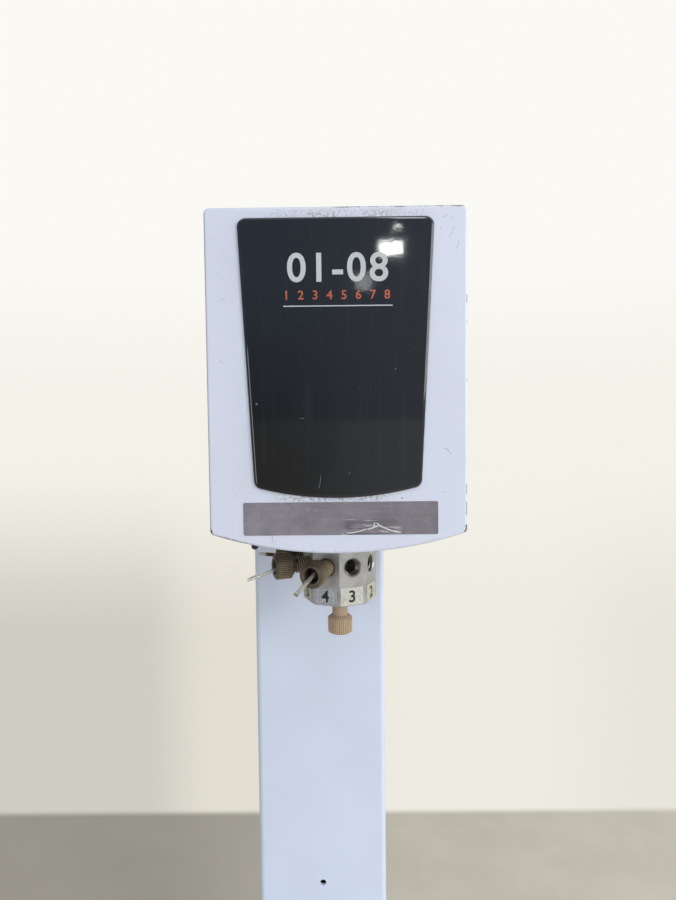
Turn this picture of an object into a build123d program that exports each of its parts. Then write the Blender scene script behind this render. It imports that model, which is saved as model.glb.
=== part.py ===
"""Motorised eight-port selector valve on a bench column, built as separate pieces.

Millimetres. The origin is the centre of the base's footprint on the bench, +Z is up,
-Y is the front with the operator panel, and +X is to the right as seen from the front.
"""
import os
from math import cos, radians, sin, tan

from build123d import *

os.makedirs("parts", exist_ok=True)

# Whole instrument
overall_height = 450.0          # bench to the top of the head
steel = 1.5                     # folded sheet of the base, column and chassis
slip = 0.15                     # gap round a screw in its hole, or a piece in its cut-out
seat_gap = 0.02                 # gap of a close fit within one body

# Base
base_width = 180.0
base_depth = 250.0
base_height = 20.0
base_corner = 8.0
foot_height = 6.0
foot_radius = 8.0
foot_chamfer = 1.0
foot_inset = 18.0
foot_recess_depth = 2.6
foot_screw_head_height = 2.0
tray_block_width = 21.0
tray_block_depth = 16.0
ballast_side_gap = 30.0         # from the base's sides
ballast_end_gap = 45.0          # from the base's front and back
ballast_thickness = 8.0
ballast_corner = 4.0
ballast_screw_inset = 18.0

# Column
column_x = -9.9                 # the column stands left of the valve's axis
column_width = 62.0
column_depth = 45.0
column_corner = 2.5
column_wall_behind_valve = 46.3
column_pin_hole_drop = 190.0    # below the head's underside
column_pin_hole_radius = 1.5
bracket_thickness = 3.0
bracket_leg = 22.0
bracket_screw_rise = 13.2
bracket_window_radius = 11.0
bolt_side_gap = 2.0             # from a bolt's head to the bracket's side legs
bolt_rear_gap = 1.0             # from a bolt's head to the bracket's rear leg
grommet_hole_radius = 8.0
grommet_lip = 2.0

# Head
head_width = 89.5
head_depth = 129.0
head_height = 111.6             # at the corners of its front
cover_sheet = 1.2
cover_bend = 0.96
cover_top_corner = 2.0
front_sag = 7.1                 # how far the front's lower edge hangs at its middle
chassis_clearance = 0.3
chassis_rise = 1.5              # chassis underside above the cover's lower edge
chassis_flange = 12.0
side_screw_from_front = 38.7
side_screw_from_back = 25.8
side_screw_rise = 7.2           # above the chassis underside
panel_top_width = 67.0
panel_bottom_width = 57.8
panel_top_gap = 3.8             # from the head's top edge
panel_side_height = 91.4
panel_sag = 3.9
panel_thickness = 1.4
panel_rim = 1.1
panel_top_corner = 3.0
panel_bottom_corner = 8.0
strip_width = 67.5
strip_height = 11.5
strip_x = 0.8
strip_corner = 0.6
strip_above_corner = 5.3        # centre above the corners of the front's lower edge
label_thickness = 0.15
stud_radius = 1.2
stud_length = 8.0
stud_point = 0.6
stud_flange_radius = 2.4
stud_flange_thickness = 1.0
stud_from_side = 14.75
stud_behind_front = 6.0

# Valve
port_drop = 129.3               # head top to the plane of the ports
valve_before_rear = 110.0       # valve's axis to the base's back
valve_behind_front = 36.0
ports = 8
block_flats = 27.0
block_below_ports = 15.0
block_edge = 0.5
thread_radius = 3.2             # 1/4-28 tapped hole, drawn as its major bore
port_mouth = 0.5
cone_radius = 2.45
cone_length = 2.1
cone_tip_radius = 0.9
passage_radius = 0.4
cut_overlap = 1.0               # how far a cut runs into the space beyond the wall it opens
rotor_radius = 4.5
rotor_chamfer = 0.3
running_gap = 0.03
rotor_below_ports = 5.4
rotor_above_ports = 10.0
stem_radius = 3.0
tang_width = 5.0
tang_thickness = 1.6
tang_length = 4.0
spigot_radius = 8.0
spigot_depth = 4.1
washer_count = 4
washer_thickness = 0.25         # half of a washer's sheet and play, above and below its slope
washer_slope = 0.25
washer_radius = 4.3
cap_flange_radius = 15.0
cap_flange_thickness = 3.0
cap_boss_radius = 7.5
cap_boss_height = 6.0
cap_chamfer = 0.4
valve_screw_circle = 10.6
valve_screw_radius = 1.2
valve_screw_head = 2.4
valve_screw_head_height = 1.44
valve_screw_bite = 8.0
number_width = 9.4
number_height = 6.9
number_corner = 0.5
number_below_ports = 11.1
number_shift = -0.4             # the stickers sit left of the middle of their faces

# Finger-tight fittings
shank_radius = 3.1
shank_length = 10.3
shank_chamfer = 0.4
side_exposed = 6.7              # shank that shows between a side port and its nut
bottom_exposed = 7.2
nut_radius = 4.95
nut_length = 7.2
nut_chamfer = 1.0
nut_bore_radius = 0.95
nut_pocket_radius = 2.9
nut_pocket_depth = 6.0
nut_pocket_cone = 1.0
nut_rib_count = 24
nut_groove = 0.25
ferrule_collar = 1.3
ferrule_collar_radius = 2.6
fitting_gap = 0.05
tube_radius = 0.8
tube_bend_start = 22.0          # distances along a port's axis from the valve's centre
tube_bend_radius = 10.0
tube_4_tip = 35.5
tube_5_tip = 38.0
tube_6_tip = 36.8
tube_stub = 0.4                 # how far the lower tube stands out of its nut

# Drive
pillar_length = 40.0
pillar_flats = 7.0
pillar_x = 29.0
pillar_y = 19.0
pillar_bite = 8.0
motor_plate_thickness = 2.0
motor_plate_width = 70.0
motor_plate_depth = 50.0
motor_plate_corner = 3.0
motor_side = 42.3
motor_length = 40.0
motor_corner = 4.0
motor_joint_inset = 8.8
motor_groove_depth = 0.5
motor_groove_width = 0.6
motor_bite = 4.0
motor_pilot_radius = 11.0
motor_hole_pitch = 31.0
motor_shaft_radius = 2.5
motor_shaft_in_motor = 10.0
coupling_radius = 8.0
coupling_length = 20.0
coupling_above_cap = 2.3
coupling_split = 0.5            # gap between the ends of the stem and the motor's shaft
coupling_chamfer = 0.5
clamp_inset = 4.0
slit_offset = 1.5
slit_width = 0.6
slit_inner = 2.4                # from the axis to where a slit ends
grub_recess = 0.6
disc_radius = 15.0
disc_thickness = 1.0
disc_slot_length = 3.5
disc_slot_width = 1.6
hub_radius = 5.5
hub_length = 3.4
hub_above_coupling = 1.2
sensor_width = 13.0
sensor_depth = 11.5
sensor_arm = 2.2
sensor_gap = 1.0
sensor_behind_slots = 1.0

# Electronics
board_width = 70.0
board_height = 80.0
board_thickness = 1.6
board_above_chassis = 10.0
standoff_length = 8.0
standoff_radius = 3.0
board_hole_inset = 4.0
board_screw_bite = 3.2
chip_width = 16.0
chip_height = 12.0
chip_thickness = 3.0
chip_x = 14.0
chip_rise = 14.0
low_chip_drop = 8.0
can_radius = 4.0
can_length = 9.0
can_spots = ((16.0, -10.0), (16.0, -22.0), (-16.0, -24.0))  # from the board's middle
socket_x = -15.0
socket_above_chassis = 24.0
socket_width = 31.0
socket_height = 12.5
socket_corner = 1.5
socket_flange = 0.8
socket_shell_width = 18.0
socket_shell_height = 8.4
socket_shell_corner = 2.0
socket_shell_sheet = 0.5
socket_insert_gap = 1.0
socket_face_depth = 4.8
socket_reach = 6.0
socket_screw_inset = 3.2
jack_screw_radius = 2.475
jack_screw_height = 4.5
jack_x = 20.0
jack_radius = 5.5
jack_flange_radius = 7.0
jack_flange = 1.0
jack_reach = 3.0
jack_bore_radius = 2.75
jack_bore_depth = 7.5
jack_pin_radius = 1.0

# Machine screws
small_shank = 1.5
small_head = 2.75
small_head_height = 1.8
large_shank = 2.0
large_head = 3.6
large_head_height = 2.4
block_bite = 8.0                # how far a screw runs into a threaded block
nut_bite = 3.0                  # how far a bolt runs past its last sheet
sheet_bite = 1.0                # how far a short screw runs past its last sheet
flange_bite = 2.0

# Places worked out from the sizes above
floor_z = foot_height
tray_z = floor_z + steel
base_top = floor_z + base_height
port_z = overall_height - port_drop
corner_z = overall_height - head_height
chassis_z = corner_z + chassis_rise
chassis_top = chassis_z + steel
valve_y = base_depth / 2 - valve_before_rear
front_y = valve_y - valve_behind_front
rear_y = front_y + head_depth
column_front = valve_y + column_wall_behind_valve
column_mid_y = column_front + column_depth / 2
column_back = column_front + column_depth
block_face = block_flats / 2
block_bottom = port_z - block_below_ports
block_top = chassis_z
shank_bite = shank_length - side_exposed
bottom_bite = shank_length - bottom_exposed
rotor_bottom = port_z - rotor_below_ports
rotor_top = port_z + rotor_above_ports
cap_top = chassis_top + cap_flange_thickness + cap_boss_height
coupling_z = cap_top + coupling_above_cap
coupling_top = coupling_z + coupling_length
hub_z = coupling_top + hub_above_coupling
motor_plate_z = chassis_top + pillar_length
motor_z = motor_plate_z + motor_plate_thickness
board_z = chassis_top + board_above_chassis
board_y = rear_y - steel - standoff_length - board_thickness
inner_half = head_width / 2 - cover_sheet - chassis_clearance
ballast_width = base_width - 2 * ballast_side_gap
ballast_depth = base_depth - 2 * ballast_end_gap
valve_origin = (0, valve_y, port_z)


def port_plane(number):
    """Plane through the valve's centre that looks out of a side port, local Y up."""
    turn = radians(360 / ports * (3.5 - number))
    return Plane(valve_origin, x_dir=(cos(turn), sin(turn), 0), z_dir=(sin(turn), -cos(turn), 0))


def profile_plane(port):
    """Plane whose X runs out along a port's axis and whose Y is the distance from it."""
    return Plane(port.origin, x_dir=port.z_dir, z_dir=port.x_dir)


def write_screws(label, plane, spots, shank, head, head_height, length):
    """Write equal screws as one node: heads stand on the plane, shanks go into it."""
    with BuildPart() as screws:
        with BuildSketch(plane):
            with Locations(*spots):
                Circle(head)
        extrude(amount=head_height)
        with BuildSketch(plane):
            with Locations(*spots):
                Circle(shank)
        extrude(amount=-length)
    screws.part.label = label
    export_step(screws.part, f"parts/{label}.step")


def facing_down(height):
    """Level plane that looks down, so that its local Y runs to the front."""
    return Plane((0, 0, height), x_dir=(1, 0, 0), z_dir=(0, 0, -1))


def facing_back(distance):
    """Upright plane that looks to the back, so that its local X runs to the left."""
    return Plane((0, distance, 0), x_dir=(-1, 0, 0), z_dir=(0, 1, 0))


def mirrored(spots):
    """Spots of a level pattern as seen on a plane that looks down."""
    return [(x, -y) for x, y in spots]


def corners(half_x, half_y, x=0, y=0):
    """Four spots of a rectangular pattern about a centre."""
    return [(x + i * half_x, y + j * half_y) for i in (-1, 1) for j in (-1, 1)]


common_plane = Plane(valve_origin, x_dir=(1, 0, 0), z_dir=(0, 0, -1))
foot_spots = corners(base_width / 2 - foot_inset, base_depth / 2 - foot_inset)
floor_screw_spots = corners(base_width / 2 - foot_inset, base_depth / 4)
ballast_spots = corners(ballast_width / 2 - ballast_screw_inset, ballast_depth / 2 - ballast_screw_inset)
bracket_bolt_x = column_width / 2 - steel - bracket_thickness - large_head - bolt_side_gap
bracket_bolt_y = column_depth / 2 - steel - bracket_thickness - large_head - bolt_rear_gap
bracket_screw_heights = (base_top + bracket_screw_rise, chassis_z - bracket_screw_rise)
column_bolt_spots = corners(bracket_bolt_x, bracket_bolt_y, column_x, column_mid_y)
cap_half = valve_screw_circle * cos(radians(45))
cap_spots = corners(cap_half, cap_half, 0, valve_y)
pillar_spots = corners(pillar_x, pillar_y, 0, valve_y)
motor_spots = corners(motor_hole_pitch / 2, motor_hole_pitch / 2, 0, valve_y)
side_screw_y = (front_y + side_screw_from_front, rear_y - side_screw_from_back)
side_screw_z = chassis_z + side_screw_rise
board_mid_z = board_z + board_height / 2
board_spots = corners(board_width / 2 - board_hole_inset, board_height / 2 - board_hole_inset,
                      0, board_mid_z)
socket_z = chassis_top + socket_above_chassis
socket_screw_x = socket_width / 2 - socket_screw_inset
socket_screw_spots = [(-socket_x - socket_screw_x, socket_z), (-socket_x + socket_screw_x, socket_z)]

# ---------------------------------------------------------------- Base

# Folded tray, open below, with the column bolted through its top
with BuildPart() as base_tray:
    with BuildSketch(Plane.XY.offset(tray_z)):
        RectangleRounded(base_width, base_depth, base_corner)
    extrude(amount=base_top - tray_z)
    fillet(base_tray.faces().sort_by(Axis.Z)[-1].edges(), steel)
    with BuildSketch(Plane.XY.offset(tray_z)):
        RectangleRounded(base_width - 2 * steel, base_depth - 2 * steel, base_corner - steel)
    extrude(amount=base_top - tray_z - steel, mode=Mode.SUBTRACT)
    with BuildSketch(Plane.XY.offset(base_top)):
        with Locations(*column_bolt_spots):
            Circle(large_shank + slip)
    extrude(amount=-steel, mode=Mode.SUBTRACT)
base_tray.part.label = "base_tray"
export_step(base_tray.part, "parts/base_tray.step")

# Flat floor under the tray, screwed to it and to the feet
with BuildPart() as base_floor:
    with BuildSketch(Plane.XY.offset(floor_z)):
        RectangleRounded(base_width, base_depth, base_corner)
        with Locations(*foot_spots, *floor_screw_spots):
            Circle(large_shank + slip, mode=Mode.SUBTRACT)
        with Locations(*ballast_spots):
            Circle(small_shank + slip, mode=Mode.SUBTRACT)
    extrude(amount=steel)
base_floor.part.label = "base_floor"
export_step(base_floor.part, "parts/base_floor.step")

# Threaded blocks inside the tray that take the floor screws
with BuildPart() as tray_blocks:
    with BuildSketch(Plane.XY.offset(tray_z)):
        with Locations(*corners((base_width - tray_block_width) / 2 - steel, base_depth / 4)):
            Rectangle(tray_block_width, tray_block_depth)
        with Locations(*floor_screw_spots):
            Circle(large_shank + slip, mode=Mode.SUBTRACT)
    extrude(amount=base_top - tray_z - steel)
tray_blocks.part.label = "tray_blocks"
export_step(tray_blocks.part, "parts/tray_blocks.step")
write_screws("floor_screws", facing_down(floor_z), mirrored(floor_screw_spots),
             large_shank, large_head, large_head_height, steel + block_bite)

# Steel ballast lying on the floor
with BuildPart() as ballast_plate:
    with BuildSketch(Plane.XY.offset(tray_z)):
        RectangleRounded(ballast_width, ballast_depth, ballast_corner)
        with Locations(*ballast_spots):
            Circle(small_shank + slip, mode=Mode.SUBTRACT)
    extrude(amount=ballast_thickness)
ballast_plate.part.label = "ballast_plate"
export_step(ballast_plate.part, "parts/ballast_plate.step")
write_screws("ballast_screws", Plane.XY.offset(tray_z + ballast_thickness), ballast_spots,
             small_shank, small_head, small_head_height, ballast_thickness + steel)

# Rubber feet, recessed below for the head of their screw
with BuildPart() as rubber_feet:
    with BuildSketch():
        with Locations(*foot_spots):
            Circle(foot_radius)
    extrude(amount=foot_height)
    chamfer(rubber_feet.edges().filter_by(GeomType.CIRCLE).group_by(Axis.Z)[0], foot_chamfer)
    with BuildSketch():
        with Locations(*foot_spots):
            Circle(large_head + 2 * slip)
    extrude(amount=foot_recess_depth, mode=Mode.SUBTRACT)
    with BuildSketch():
        with Locations(*foot_spots):
            Circle(large_shank + slip)
    extrude(amount=foot_height, mode=Mode.SUBTRACT)
rubber_feet.part.label = "rubber_feet"
export_step(rubber_feet.part, "parts/rubber_feet.step")
write_screws("foot_screws", facing_down(foot_recess_depth), mirrored(foot_spots), large_shank, large_head,
             foot_screw_head_height, foot_height - foot_recess_depth + steel + nut_bite)

# ---------------------------------------------------------------- Column

# Folded channel, open at the back
with BuildPart() as column_shell:
    with BuildSketch(Plane.XY.offset(base_top)) as channel:
        with Locations((column_x, column_mid_y)):
            Rectangle(column_width, column_depth)
        fillet(channel.vertices().group_by(Axis.Y)[0], column_corner)
        with Locations((column_x, column_mid_y + steel / 2)):
            Rectangle(column_width - 2 * steel, column_depth - steel, mode=Mode.SUBTRACT)
    extrude(amount=chassis_z - base_top)
    with BuildSketch(Plane.XZ.offset(-column_front)):
        with Locations((column_x, chassis_z - column_pin_hole_drop)):
            Circle(column_pin_hole_radius)
    extrude(amount=-steel, mode=Mode.SUBTRACT)
    with BuildSketch(Plane.YZ.offset(column_x - column_width / 2)):
        with Locations(*[(column_mid_y, z) for z in bracket_screw_heights]):
            Circle(small_shank + slip)
    extrude(amount=column_width, mode=Mode.SUBTRACT)
column_shell.part.label = "column_shell"
export_step(column_shell.part, "parts/column_shell.step")

# Flat cover that closes the channel's back between its side walls
rear_cover_spots = [(column_x, z) for z in bracket_screw_heights]
with BuildPart() as column_rear_cover:
    with BuildSketch(Plane.XZ.offset(-column_back)):
        with Locations((column_x, (base_top + chassis_z) / 2)):
            Rectangle(column_width - 2 * steel - 2 * slip, chassis_z - base_top - 2 * slip)
        with Locations(*rear_cover_spots):
            Circle(small_shank + slip, mode=Mode.SUBTRACT)
    extrude(amount=steel)
column_rear_cover.part.label = "column_rear_cover"
export_step(column_rear_cover.part, "parts/column_rear_cover.step")
write_screws("rear_cover_screws", facing_back(column_back), [(-x, z) for x, z in rear_cover_spots],
             small_shank, small_head, small_head_height, steel + bracket_thickness + sheet_bite)

# Channel-shaped brackets that tie the column to the base and to the head
bracket_x = column_width - 2 * steel - 2 * seat_gap
bracket_y = column_depth - 2 * steel - slip - seat_gap
bracket_mid_y = column_mid_y + (slip - seat_gap) / 2
for label, seat, rise in (("column_foot_bracket", base_top, 1), ("column_head_bracket", chassis_z, -1)):
    with BuildPart() as bracket:
        with BuildSketch(Plane.XY.offset(seat)):
            with Locations((column_x, bracket_mid_y)):
                Rectangle(bracket_x, bracket_y)
        extrude(amount=rise * bracket_leg)
        with BuildSketch(Plane.XY.offset(seat + rise * bracket_thickness)):
            with Locations((column_x, bracket_mid_y - bracket_thickness / 2)):
                Rectangle(bracket_x - 2 * bracket_thickness, bracket_y - bracket_thickness)
        extrude(amount=rise * bracket_leg, mode=Mode.SUBTRACT)
        with BuildSketch(Plane.XY.offset(seat)):
            with Locations(*column_bolt_spots):
                Circle(large_shank + slip)
            with Locations((column_x, column_mid_y)):
                Circle(bracket_window_radius)
        extrude(amount=rise * bracket_thickness, mode=Mode.SUBTRACT)
        with BuildSketch(Plane.YZ.offset(column_x - column_width / 2)):
            with Locations((column_mid_y, seat + rise * bracket_screw_rise)):
                Circle(small_shank + slip)
        extrude(amount=column_width, mode=Mode.SUBTRACT)
        with BuildSketch(facing_back(column_back)):
            with Locations((-column_x, seat + rise * bracket_screw_rise)):
                Circle(small_shank + slip)
        extrude(amount=-(2 * steel + bracket_thickness), mode=Mode.SUBTRACT)
    bracket.part.label = label
    export_step(bracket.part, f"parts/{label}.step")

write_screws("foot_bolts", Plane.XY.offset(base_top + bracket_thickness), column_bolt_spots,
             large_shank, large_head, large_head_height, bracket_thickness + steel + nut_bite)
write_screws("head_bolts", facing_down(chassis_z - bracket_thickness), mirrored(column_bolt_spots),
             large_shank, large_head, large_head_height, bracket_thickness + steel + nut_bite)

# Screws through the column's side walls into both brackets
with BuildPart() as column_side_screws:
    for side in (-1, 1):
        outer = Plane((column_x + side * column_width / 2, column_mid_y, 0), x_dir=(0, 1, 0),
                      z_dir=(side, 0, 0))
        spots = [(0, side * z) for z in bracket_screw_heights]
        with BuildSketch(outer):
            with Locations(*spots):
                Circle(small_head)
        extrude(amount=small_head_height)
        with BuildSketch(outer):
            with Locations(*spots):
                Circle(small_shank)
        extrude(amount=-(steel + bracket_thickness + sheet_bite))
column_side_screws.part.label = "column_side_screws"
export_step(column_side_screws.part, "parts/column_side_screws.step")

# ---------------------------------------------------------------- Head

cable_spot = (column_x, column_mid_y)
cap_hole_radius = spigot_radius + slip
stud_spot = (stud_from_side - head_width / 2, front_y + stud_behind_front)
chassis_front = front_y + cover_sheet + chassis_clearance

# Folded chassis: floor, two side flanges that turn up, and the back panel
with BuildPart() as head_chassis:
    with BuildSketch(Plane.XY.offset(chassis_z)):
        with Locations((0, (chassis_front + rear_y) / 2)):
            Rectangle(2 * inner_half, rear_y - chassis_front)
    extrude(amount=steel)
    with BuildSketch(Plane.XY.offset(chassis_z)):
        for side in (-1, 1):
            with Locations((side * (inner_half - steel / 2), (chassis_front + rear_y) / 2)):
                Rectangle(steel, rear_y - chassis_front)
    extrude(amount=chassis_flange)
    with BuildSketch(Plane.XZ.offset(-rear_y)):
        with Locations((0, chassis_z)):
            Rectangle(2 * inner_half, overall_height - cover_sheet - slip - chassis_z,
                      align=(Align.CENTER, Align.MIN))
    extrude(amount=steel)
    with BuildSketch(Plane.XY.offset(chassis_z)):
        with Locations((0, valve_y)):
            Circle(cap_hole_radius)
        with Locations(*cap_spots):
            Circle(valve_screw_radius + slip)
        with Locations(*pillar_spots):
            Circle(small_shank + slip)
        with Locations(*column_bolt_spots):
            Circle(large_shank + slip)
        with Locations(cable_spot):
            Circle(grommet_hole_radius)
        with Locations(stud_spot):
            Circle(stud_radius + seat_gap)
    extrude(amount=steel, mode=Mode.SUBTRACT)
    with BuildSketch(Plane.YZ.offset(-head_width / 2)):
        with Locations(*[(y, side_screw_z) for y in side_screw_y]):
            Circle(small_shank + slip)
    extrude(amount=head_width, mode=Mode.SUBTRACT)
    with BuildSketch(facing_back(rear_y)):
        with Locations((-socket_x, socket_z)):
            Rectangle(socket_shell_width + 2 * slip, socket_shell_height + 2 * slip)
        with Locations(*socket_screw_spots):
            Circle(small_shank + slip)
        with Locations((-jack_x, socket_z)):
            Circle(jack_radius + slip)
        with Locations(*board_spots):
            Circle(small_shank + slip)
    extrude(amount=-steel, mode=Mode.SUBTRACT)
head_chassis.part.label = "head_chassis"
export_step(head_chassis.part, "parts/head_chassis.step")

# Painted cover: front with an arched lower edge, top and sides, open below and behind
with BuildPart() as head_cover:
    with BuildSketch(Plane.XZ.offset(-front_y)) as outline:
        with BuildLine():
            Line((-head_width / 2, corner_z), (-head_width / 2, overall_height))
            Line((-head_width / 2, overall_height), (head_width / 2, overall_height))
            Line((head_width / 2, overall_height), (head_width / 2, corner_z))
            ThreePointArc((head_width / 2, corner_z), (0, corner_z - front_sag),
                          (-head_width / 2, corner_z))
        make_face()
        fillet(outline.vertices().group_by(Axis.Z)[-1], cover_top_corner)
    extrude(amount=-head_depth)
    with BuildSketch(Plane.XY.offset(corner_z - front_sag)):
        with Locations((0, front_y + cover_sheet)):
            Rectangle(head_width, head_depth, align=(Align.CENTER, Align.MIN))
    extrude(amount=front_sag, mode=Mode.SUBTRACT)
    with BuildSketch(Plane.XY.offset(corner_z)):
        with Locations((0, front_y + cover_sheet)):
            Rectangle(head_width - 2 * cover_sheet, head_depth, align=(Align.CENTER, Align.MIN))
    extrude(amount=head_height - cover_sheet, mode=Mode.SUBTRACT)
    front_rim = head_cover.faces().sort_by(Axis.Y)[0].edges()
    fillet([edge for edge in front_rim if edge.center().Z > corner_z], cover_bend)
    with BuildSketch(Plane.YZ.offset(-head_width / 2)):
        with Locations(*[(y, side_screw_z) for y in side_screw_y]):
            Circle(small_shank + slip)
    extrude(amount=head_width, mode=Mode.SUBTRACT)
head_cover.part.label = "head_cover"
export_step(head_cover.part, "parts/head_cover.step")

# Screws through the cover's sides into the chassis flanges
with BuildPart() as cover_screws:
    for side in (-1, 1):
        outer = Plane((side * head_width / 2, 0, 0), x_dir=(0, side, 0), z_dir=(side, 0, 0))
        spots = [(side * y, side_screw_z) for y in side_screw_y]
        with BuildSketch(outer):
            with Locations(*spots):
                Circle(small_head)
        extrude(amount=small_head_height)
        with BuildSketch(outer):
            with Locations(*spots):
                Circle(small_shank)
        extrude(amount=-(cover_sheet + chassis_clearance + steel + flange_bite))
cover_screws.part.label = "cover_screws"
export_step(cover_screws.part, "parts/cover_screws.step")

# Glossy operator panel on the front, narrowing downwards to a curved lower edge
panel_top = overall_height - panel_top_gap
panel_side_z = panel_top - panel_side_height
with BuildPart() as front_panel:
    with BuildSketch(Plane.XZ.offset(-front_y)) as face:
        with BuildLine():
            Polyline((-panel_bottom_width / 2, panel_side_z), (-panel_top_width / 2, panel_top),
                     (panel_top_width / 2, panel_top), (panel_bottom_width / 2, panel_side_z))
            ThreePointArc((panel_bottom_width / 2, panel_side_z), (0, panel_side_z - panel_sag),
                          (-panel_bottom_width / 2, panel_side_z))
        make_face()
        fillet(face.vertices().group_by(Axis.Z)[-1], panel_top_corner)
        fillet([v for v in face.vertices() if abs(v.Z - panel_side_z) < 1e-4], panel_bottom_corner)
    extrude(amount=panel_thickness)
    fillet(front_panel.faces().sort_by(Axis.Y)[0].edges(), panel_rim)
front_panel.part.label = "front_panel"
export_step(front_panel.part, "parts/front_panel.step")

# Blank metallic strip below the panel
with BuildPart() as label_strip:
    with BuildSketch(Plane.XZ.offset(-front_y)):
        with Locations((strip_x, corner_z + strip_above_corner)):
            RectangleRounded(strip_width, strip_height, strip_corner)
    extrude(amount=label_thickness)
label_strip.part.label = "label_strip"
export_step(label_strip.part, "parts/label_strip.step")

# Nylon stud pressed through the chassis floor near its front left corner
with BuildPart() as locating_stud:
    with BuildSketch(Plane.XY.offset(chassis_top)):
        with Locations(stud_spot):
            Circle(stud_flange_radius)
    extrude(amount=stud_flange_thickness)
    with BuildSketch(Plane.XY.offset(chassis_top)):
        with Locations(stud_spot):
            Circle(stud_radius)
    extrude(amount=-(steel + stud_length))
    chamfer(locating_stud.edges().group_by(Axis.Z)[0], stud_point)
locating_stud.part.label = "locating_stud"
export_step(locating_stud.part, "parts/locating_stud.step")

# Grommet that lines the cable hole above the column
with BuildPart() as cable_grommet:
    with BuildSketch(Plane.XY.offset(chassis_z)):
        with Locations(cable_spot):
            Circle(grommet_hole_radius - seat_gap)
    extrude(amount=steel)
    for seat in (chassis_top, chassis_z - steel):
        with BuildSketch(Plane.XY.offset(seat)):
            with Locations(cable_spot):
                Circle(grommet_hole_radius + grommet_lip)
        extrude(amount=steel)
    with BuildSketch(Plane.XY.offset(chassis_z - steel)):
        with Locations(cable_spot):
            Circle(grommet_hole_radius - grommet_lip)
    extrude(amount=3 * steel, mode=Mode.SUBTRACT)
cable_grommet.part.label = "cable_grommet"
export_step(cable_grommet.part, "parts/cable_grommet.step")

# ---------------------------------------------------------------- Valve

# Octagonal stator with a vertex to the front, a tapped port in each face and one below
with BuildPart() as valve_block:
    with BuildSketch(Plane((0, valve_y, block_bottom))):
        RegularPolygon(block_flats / 2, 8, major_radius=False)
    extrude(amount=block_top - block_bottom)
    chamfer(valve_block.faces().sort_by(Axis.Z)[0].edges(), block_edge)
    with BuildSketch(Plane((0, valve_y, rotor_bottom - running_gap))):
        Circle(rotor_radius + running_gap)
    extrude(amount=block_top - rotor_bottom + running_gap, mode=Mode.SUBTRACT)
    with BuildSketch(Plane((0, valve_y, block_top))):
        Circle(spigot_radius + slip)
    extrude(amount=-spigot_depth, mode=Mode.SUBTRACT)
    with BuildSketch(Plane.XY.offset(block_top)):
        with Locations(*cap_spots):
            Circle(valve_screw_radius + seat_gap)
    extrude(amount=-valve_screw_bite - cut_overlap, mode=Mode.SUBTRACT)
    mouths = [(port_plane(n), block_face, shank_bite, rotor_radius - cut_overlap)
              for n in range(1, ports + 1)]
    mouths.append((common_plane, block_below_ports, bottom_bite, rotor_below_ports - cut_overlap))
    for port, face_at, bite, inner in mouths:
        seat = face_at - bite - ferrule_collar
        with BuildSketch(profile_plane(port)):
            with BuildLine():
                Polyline((inner, 0), (inner, passage_radius), (seat - cone_length, passage_radius),
                         (seat - cone_length, cone_tip_radius), (seat, cone_radius), (seat, thread_radius),
                         (face_at - port_mouth, thread_radius), (face_at, thread_radius + port_mouth),
                         (face_at + cut_overlap, thread_radius + port_mouth), (face_at + cut_overlap, 0),
                         close=True)
            make_face()
        revolve(axis=Axis(port.origin, port.z_dir), mode=Mode.SUBTRACT)
valve_block.part.label = "valve_block"
export_step(valve_block.part, "parts/valve_block.step")

# Cap on the chassis floor whose spigot centres the block and guides the stem
with BuildPart() as valve_cap:
    with BuildSketch(Plane((0, valve_y, chassis_top))):
        Circle(cap_flange_radius)
    extrude(amount=cap_flange_thickness)
    with BuildSketch(Plane((0, valve_y, chassis_top))):
        Circle(cap_boss_radius)
    extrude(amount=cap_flange_thickness + cap_boss_height)
    with BuildSketch(Plane((0, valve_y, chassis_top))):
        Circle(spigot_radius)
    extrude(amount=-(steel + spigot_depth - slip))
    with BuildSketch(Plane((0, valve_y, cap_top))):
        Circle(stem_radius + running_gap)
    extrude(amount=-(cap_top - chassis_z + spigot_depth), mode=Mode.SUBTRACT)
    with BuildSketch(Plane.XY.offset(chassis_top)):
        with Locations(*cap_spots):
            Circle(valve_screw_radius + slip)
    extrude(amount=cap_flange_thickness, mode=Mode.SUBTRACT)
    chamfer(valve_cap.edges().group_by(Axis.Z)[-1], cap_chamfer)
valve_cap.part.label = "valve_cap"
export_step(valve_cap.part, "parts/valve_cap.step")
write_screws("valve_screws", Plane.XY.offset(chassis_top + cap_flange_thickness), cap_spots,
             valve_screw_radius, valve_screw_head, valve_screw_head_height,
             cap_flange_thickness + steel + valve_screw_bite)

# Number stickers below the ports
with BuildPart() as port_labels:
    for n in range(1, ports + 1):
        with BuildSketch(port_plane(n).offset(block_face)):
            with Locations((number_shift, -number_below_ports)):
                RectangleRounded(number_width, number_height, number_corner)
        extrude(amount=label_thickness)
port_labels.part.label = "port_labels"
export_step(port_labels.part, "parts/port_labels.step")

# ---------------------------------------------------------------- Rotor, turned by the motor

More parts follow.
